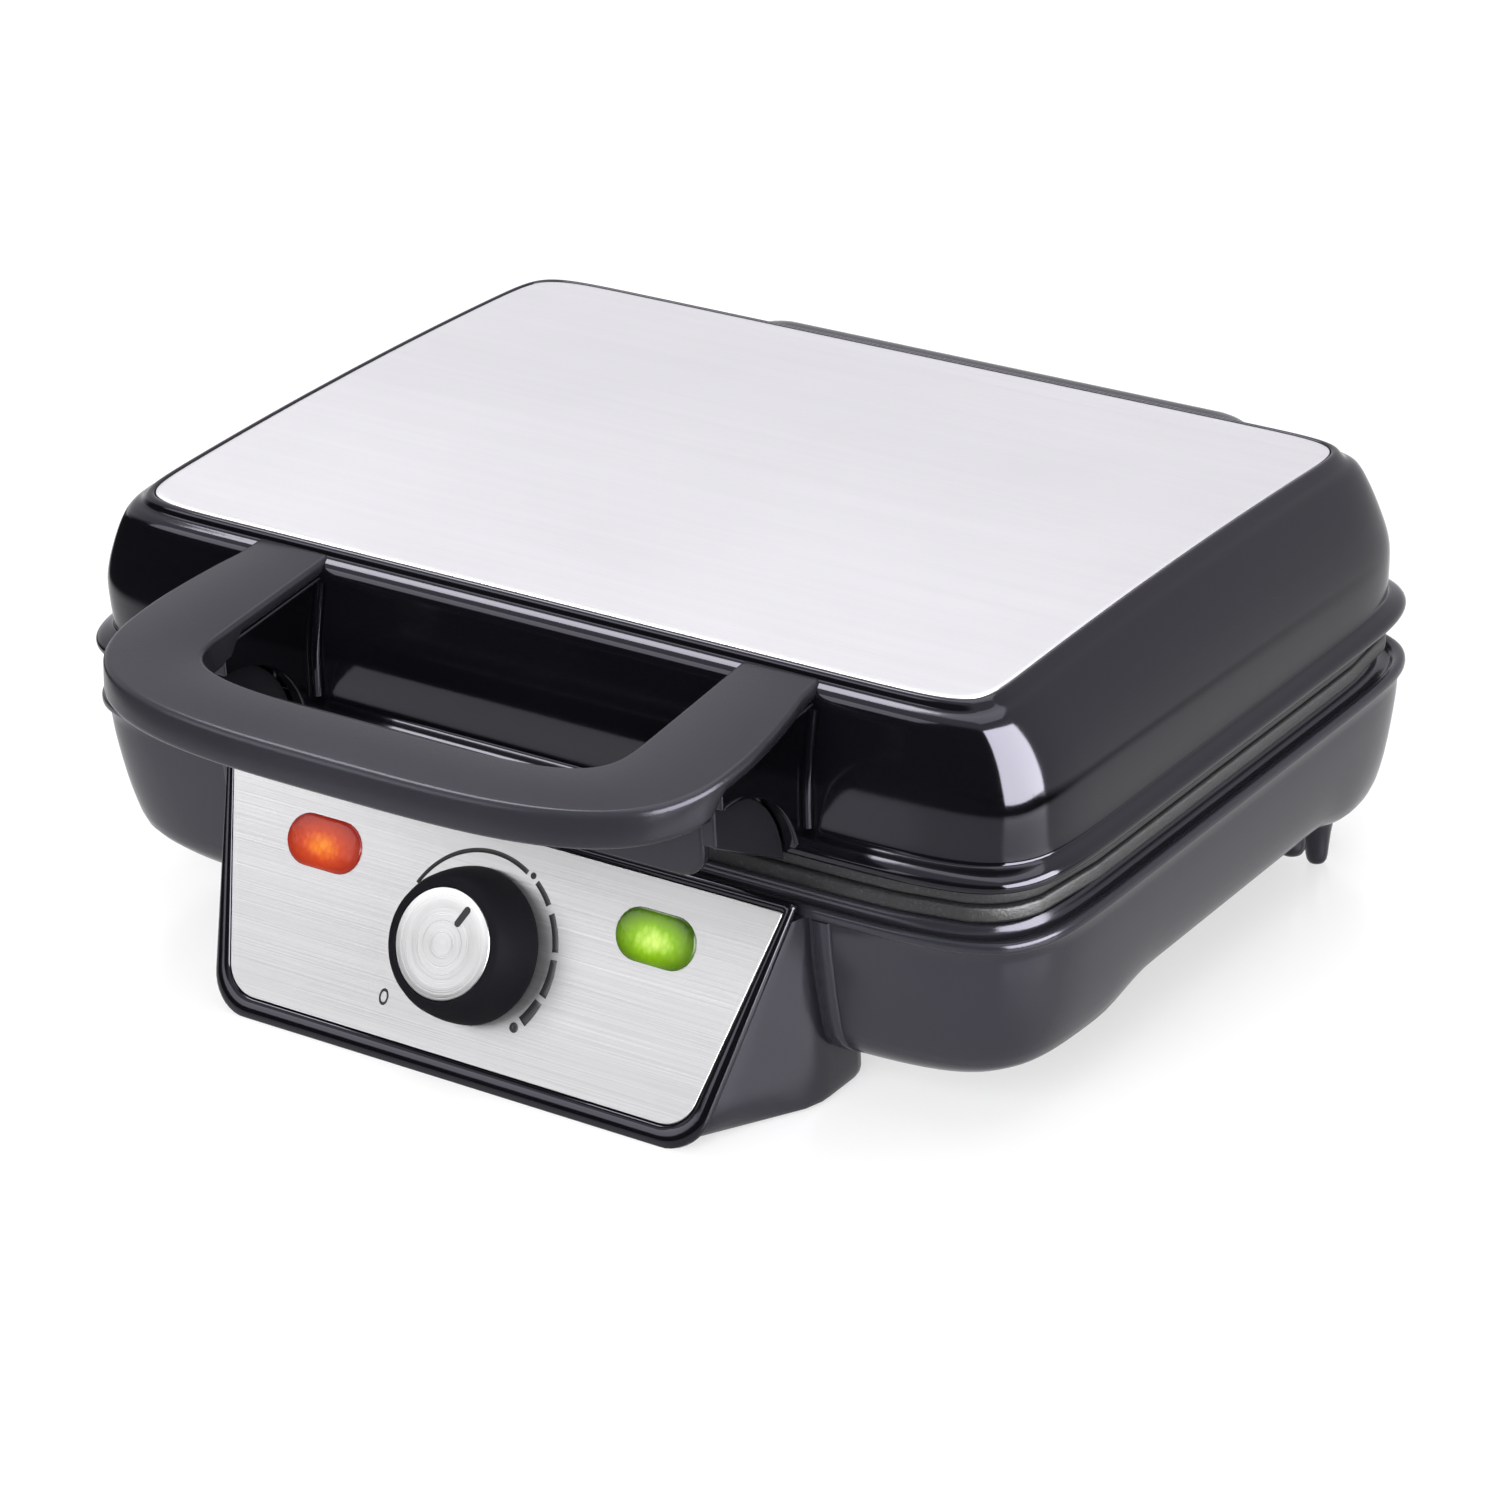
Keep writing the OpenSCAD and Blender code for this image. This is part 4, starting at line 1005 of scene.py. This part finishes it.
def plate(name, up, body, node):
    right = peg_lines(HOLLOW_START, HOLLOW_WIDE, 4) + [(110.8, FLANGE), (GRID_HALF, FLANGE)]
    columns = [(-x, k) for x, k in reversed(right)] + right
    rows = [(-GRID_DEEP, FLANGE), (-70, FLANGE)] + peg_lines(-HOLLOW_DEEP / 2, HOLLOW_DEEP, 5)
    rows += [(70, FLANGE), (GRID_DEEP, FLANGE)]
    depth = {FLANGE: 0.25, HOLLOW: 9.0, PEG: 2.6}
    work = bmesh.new()
    grid = [[work.verts.new(at(x, y, PART + up * depth[min(i, j)])) for x, i in columns] for y, j in rows]
    for r in range(len(rows) - 1):
        for c in range(len(columns) - 1):
            work.faces.new((grid[r][c], grid[r][c + 1], grid[r + 1][c + 1], grid[r + 1][c]))
    across, deep = len(columns), len(rows)
    edge = [(0, c) for c in range(across)] + [(r, across - 1) for r in range(1, deep)]
    edge += [(deep - 1, c) for c in range(across - 2, -1, -1)] + [(r, 0) for r in range(deep - 2, 0, -1)]
    last = [grid[r][c] for r, c in edge]
    for a, b, square, drop in PLATE_RIM:
        points = []
        for r, c in edge:
            u, v = columns[c][0] / GRID_HALF, rows[r][0] / GRID_DEEP
            t = math.atan2(abs(v) ** (square / 2), abs(u) ** (square / 2))
            x = math.copysign(a * math.cos(t) ** (2 / square), u)
            y = math.copysign(b * math.sin(t) ** (2 / square), v)
            points.append(work.verts.new(at(x, y, PART + up * drop)))
        for i in range(len(edge)):
            k = (i + 1) % len(edge)
            work.faces.new((last[i], points[i], points[k], last[k]))
        last = points
    work.faces.new(last)
    bmesh.ops.recalc_face_normals(work, faces=work.faces)
    mesh = bpy.data.meshes.new(name)
    work.to_mesh(mesh)
    work.free()
    piece = dressed(name, mesh, CAST, 30)
    soften(piece, 0.45, 2, 25)
    return fitted(piece, body, "nonstick", node)


plate("plate_lower", -1, "base", "lower_plate")
plate("plate_upper", 1, "lid", "upper_plate")


# ---------------------------------------------------------------- legs and feet
# Satin black legs under the rear corners, each with a cleat that the cord winds round, and rubber pads under
# the control box.
def lathe(name, profile, x, y, material, count=48):
    """A turned piece from (radius, height) pairs, with its upright axis at a place across and back."""
    rings = [[at(x + r * math.cos(t), y + r * math.sin(t), h)
              for t in (2 * math.pi * i / count for i in range(count))] for r, h in profile]
    return skin(name, rings, material, caps=(True, True))


RUBBER = dull("rubber", (0.018, 0.018, 0.018), (0.03, 0.03, 0.03), 0.7)
LEG_FORM = [
    (1.3, 0.05), (1.9, 0.35), (2.35, 1.1), (2.6, 2.4), (2.9, 5), (3.3, 8), (3.8, 10.5), (4.6, 12.6),
    (5.4, 14.2)]
CLEAT_FORM = [(0.4, 5.6), (1.6, 5.75), (2.5, 6.2), (3.1, 7.2), (3.3, 8.6), (3.35, 12), (3.4, 16)]
PAD_FORM = [(4.6, 0.0), (5.6, 0.15), (5.95, 0.6), (5.95, 2.2)]
for side, hand in HANDS:
    leg = lathe(f"leg_{hand}", LEG_FORM, side * 113, 63.5, SHELL)
    cleat = lathe(f"cleat_{hand}", CLEAT_FORM, side * 111.5, 54.5, SHELL)
    fitted(leg, "base", "black_satin", *(["rear_legs"] if side < 0 else []))
    fitted(cleat, "base", "black_satin")
    pad = lathe(f"pad_{hand}", PAD_FORM, side * 51, -109, RUBBER)
    fitted(pad, "base", "rubber", *(["front_pads"] if side < 0 else []))


# ---------------------------------------------------------------- carried-over pieces
# The pieces inside the shells and under the box keep their own forms, and get their real finishes: zinc
# plated steel, bright sheet, oxidised heater tube, ceramic, braid, brass, copper and glass.
FINISHES = {
    "zinc_steel": plain_metal("zinc_steel", (0.42, 0.42, 0.43), (0.58, 0.58, 0.6), 0.32),
    "reflector": plain_metal("bright_sheet", (0.6, 0.6, 0.6), (0.74, 0.74, 0.74), 0.16),
    "heater_tube": plain_metal("heater_tube", (0.06, 0.058, 0.055), (0.14, 0.13, 0.12), 0.45, 0.8),
    "copper": plain_metal("copper", (0.5, 0.22, 0.12), (0.66, 0.32, 0.18), 0.3),
    "brass": plain_metal("brass", (0.5, 0.36, 0.13), (0.64, 0.48, 0.2), 0.28),
    "ceramic": dull("ceramic", (0.6, 0.58, 0.52), (0.7, 0.68, 0.62), 0.55),
    "white_plastic": dull("white_plastic", (0.62, 0.62, 0.6), (0.72, 0.72, 0.7), 0.4),
    "glass_braid": dull("glass_braid", (0.022, 0.021, 0.02), (0.06, 0.058, 0.055), 0.8, 900, 0.0006, 0.5),
    "rubber": RUBBER,
    "lamp_glass": dull("lamp_glass", (0.8, 0.42, 0.25), (0.95, 0.6, 0.4), 0.1),
    "black_satin": SATIN,
    "brushed_steel": STEEL,
    "black_gloss": GLOSS,
    "nonstick": CAST,
    "spun_aluminium": STEEL,
    "red_lens": RED,
    "green_lens": GREEN,
}
for part in frame["record"]["subparts"]:
    node = frame["nodes"][part["node"]]
    finish = FINISHES[part["material_slot"]]
    for place in node.material_slots:
        place.link = "OBJECT"
        place.material = finish


# ---------------------------------------------------------------- studio
# A white table in a studio that is pale behind and above and dark in front. The camera and mirrors see the
# table as white, with the object's shadow and a faint reflection on it; mirrors see its front part dimmer
# from NEAR to FAR out. Overhead and fill light the object, and the other lamps show in gloss and metal only.
NEAR, FAR = 0.31, 0.38
AHEAD_NONE, AHEAD_FULL = 0.3, 0.12


def grey(value):
    return value, value, value, 1


def stage_tree(data):
    """A function that adds nodes to a material's or world's emptied tree and returns their output."""
    data.use_nodes = True
    tree = data.node_tree
    tree.nodes.clear()

    def node(kind, values=(), output=0, **settings):
        made = tree.nodes.new(kind)
        for key, value in settings.items():
            setattr(made, key, value)
        for key, value in dict(values).items():
            if isinstance(value, bpy.types.NodeSocket):
                tree.links.new(value, made.inputs[key])
            else:
                made.inputs[key].default_value = value
        return made.outputs[output] if made.outputs else made

    return node


def mirrored(node):
    """Two masks: 1 for what metal, gloss and glass see, and 1 for what the camera sees."""
    path = node("ShaderNodeLightPath").node
    return node("ShaderNodeMath", {0: path.outputs["Is Glossy Ray"], 1: path.outputs["Is Transmission Ray"]},
                operation="MAXIMUM"), path.outputs["Is Camera Ray"]


def floor():
    bpy.ops.mesh.primitive_plane_add(size=12, location=(0, 0, 0))
    plane = bpy.context.object
    plane.name = "floor"
    made = bpy.data.materials.new("floor")
    node = stage_tree(made)
    glossy, camera_ray = mirrored(node)
    white = node("ShaderNodeBsdfPrincipled", {
        "Base Color": (0.38, 0.38, 0.384, 1), "Roughness": 0.22,
        "Emission Color": grey(1), "Emission Strength": 0.645})
    matt = node("ShaderNodeBsdfDiffuse", {"Color": grey(0.7)})
    dark = node("ShaderNodeBsdfDiffuse", {"Color": grey(0.02)})
    place = node("ShaderNodeTexCoord", output="Object")
    away = node("ShaderNodeVectorMath", {0: place}, "Value", operation="LENGTH")
    beyond = node("ShaderNodeMapRange", {0: away, 1: NEAR, 2: FAR})
    depth = node("ShaderNodeSeparateXYZ", {0: place}, "Y")
    ahead = node("ShaderNodeMapRange", {0: depth, 1: AHEAD_NONE, 2: AHEAD_FULL})
    outside = node("ShaderNodeMath", {0: beyond, 1: ahead}, operation="MULTIPLY")
    dimmed = node("ShaderNodeMapRange", {0: outside, 3: 0.2})
    far = node("ShaderNodeMath", {0: dimmed, 1: glossy}, operation="MULTIPLY")
    seen = node("ShaderNodeMath", {0: glossy, 1: camera_ray}, operation="MAXIMUM")
    shown = node("ShaderNodeMixShader", {0: far, 1: white, 2: dark})
    node("ShaderNodeOutputMaterial", {0: node("ShaderNodeMixShader", {0: seen, 1: matt, 2: shown})})
    plane.data.materials.append(made)


def surround():
    world = bpy.data.worlds.new("studio")
    bpy.context.scene.world = world
    node = stage_tree(world)
    glossy, camera_ray = mirrored(node)
    axes = node("ShaderNodeSeparateXYZ", {0: node("ShaderNodeTexCoord")}).node.outputs
    behind = node("ShaderNodeMath", {0: axes["Z"], 1: 1.3, 2: axes["Y"]}, operation="MULTIPLY_ADD")
    pale = node("ShaderNodeMapRange", {0: behind, 1: -0.15, 2: 0.3, 3: 0.03, 4: 1.04})
    room = node("ShaderNodeBackground", {"Color": (0.96, 0.95, 1, 1), "Strength": pale})
    soft = node("ShaderNodeBackground", {"Color": grey(1), "Strength": 0.55})
    white = node("ShaderNodeBackground", {"Color": grey(1), "Strength": 1.0})
    lit = node("ShaderNodeMixShader", {0: glossy, 1: soft, 2: room})
    node("ShaderNodeOutputWorld", {0: node("ShaderNodeMixShader", {0: camera_ray, 1: lit, 2: white})})


def lamp(name, place, aim, width, height, power, mirrored_only=True):
    """A soft lamp that faces aim; one that is mirrored only shows in gloss and metal and lights nothing."""
    data = bpy.data.lights.new(name, "AREA")
    data.shape = "RECTANGLE"
    data.size = width
    data.size_y = height
    data.energy = power
    made = unit(name, data)
    made.location = place
    made.rotation_euler = (Vector(aim) - Vector(place)).to_track_quat("-Z", "Y").to_euler()
    made.visible_diffuse = not mirrored_only
    return made


def bearing(azimuth, elevation, distance):
    """A place seen from the object at so many degrees right of the front and above the level."""
    a, e = math.radians(azimuth), math.radians(elevation)
    way = Vector((math.sin(a) * math.cos(e), -math.cos(a) * math.cos(e), math.sin(e)))
    return Vector((0, 0, 0.07)) + distance * way


floor()
surround()
lamp("overhead", (0.1, 0.25, 1.5), (0, 0, 0.05), 1.6, 1.2, 13, False)
lamp("panel_lamp", bearing(-37, 25, 1.9), (0, -0.1, 0.03), 1.1, 0.8, 9)
lamp("fill", bearing(12, 25, 1.2), (0, 0, 0.07), 1.0, 0.7, 14, False).visible_glossy = False
lamp("ledge_lamp", bearing(-99, 58, 1.5), (0, 0, 0.1), 0.55, 0.45, 9)
lamp("window", bearing(80, 12, 1.0), (0, 0, 0.07), 1.2, 0.9, 72)

bpy.context.view_layer.update()
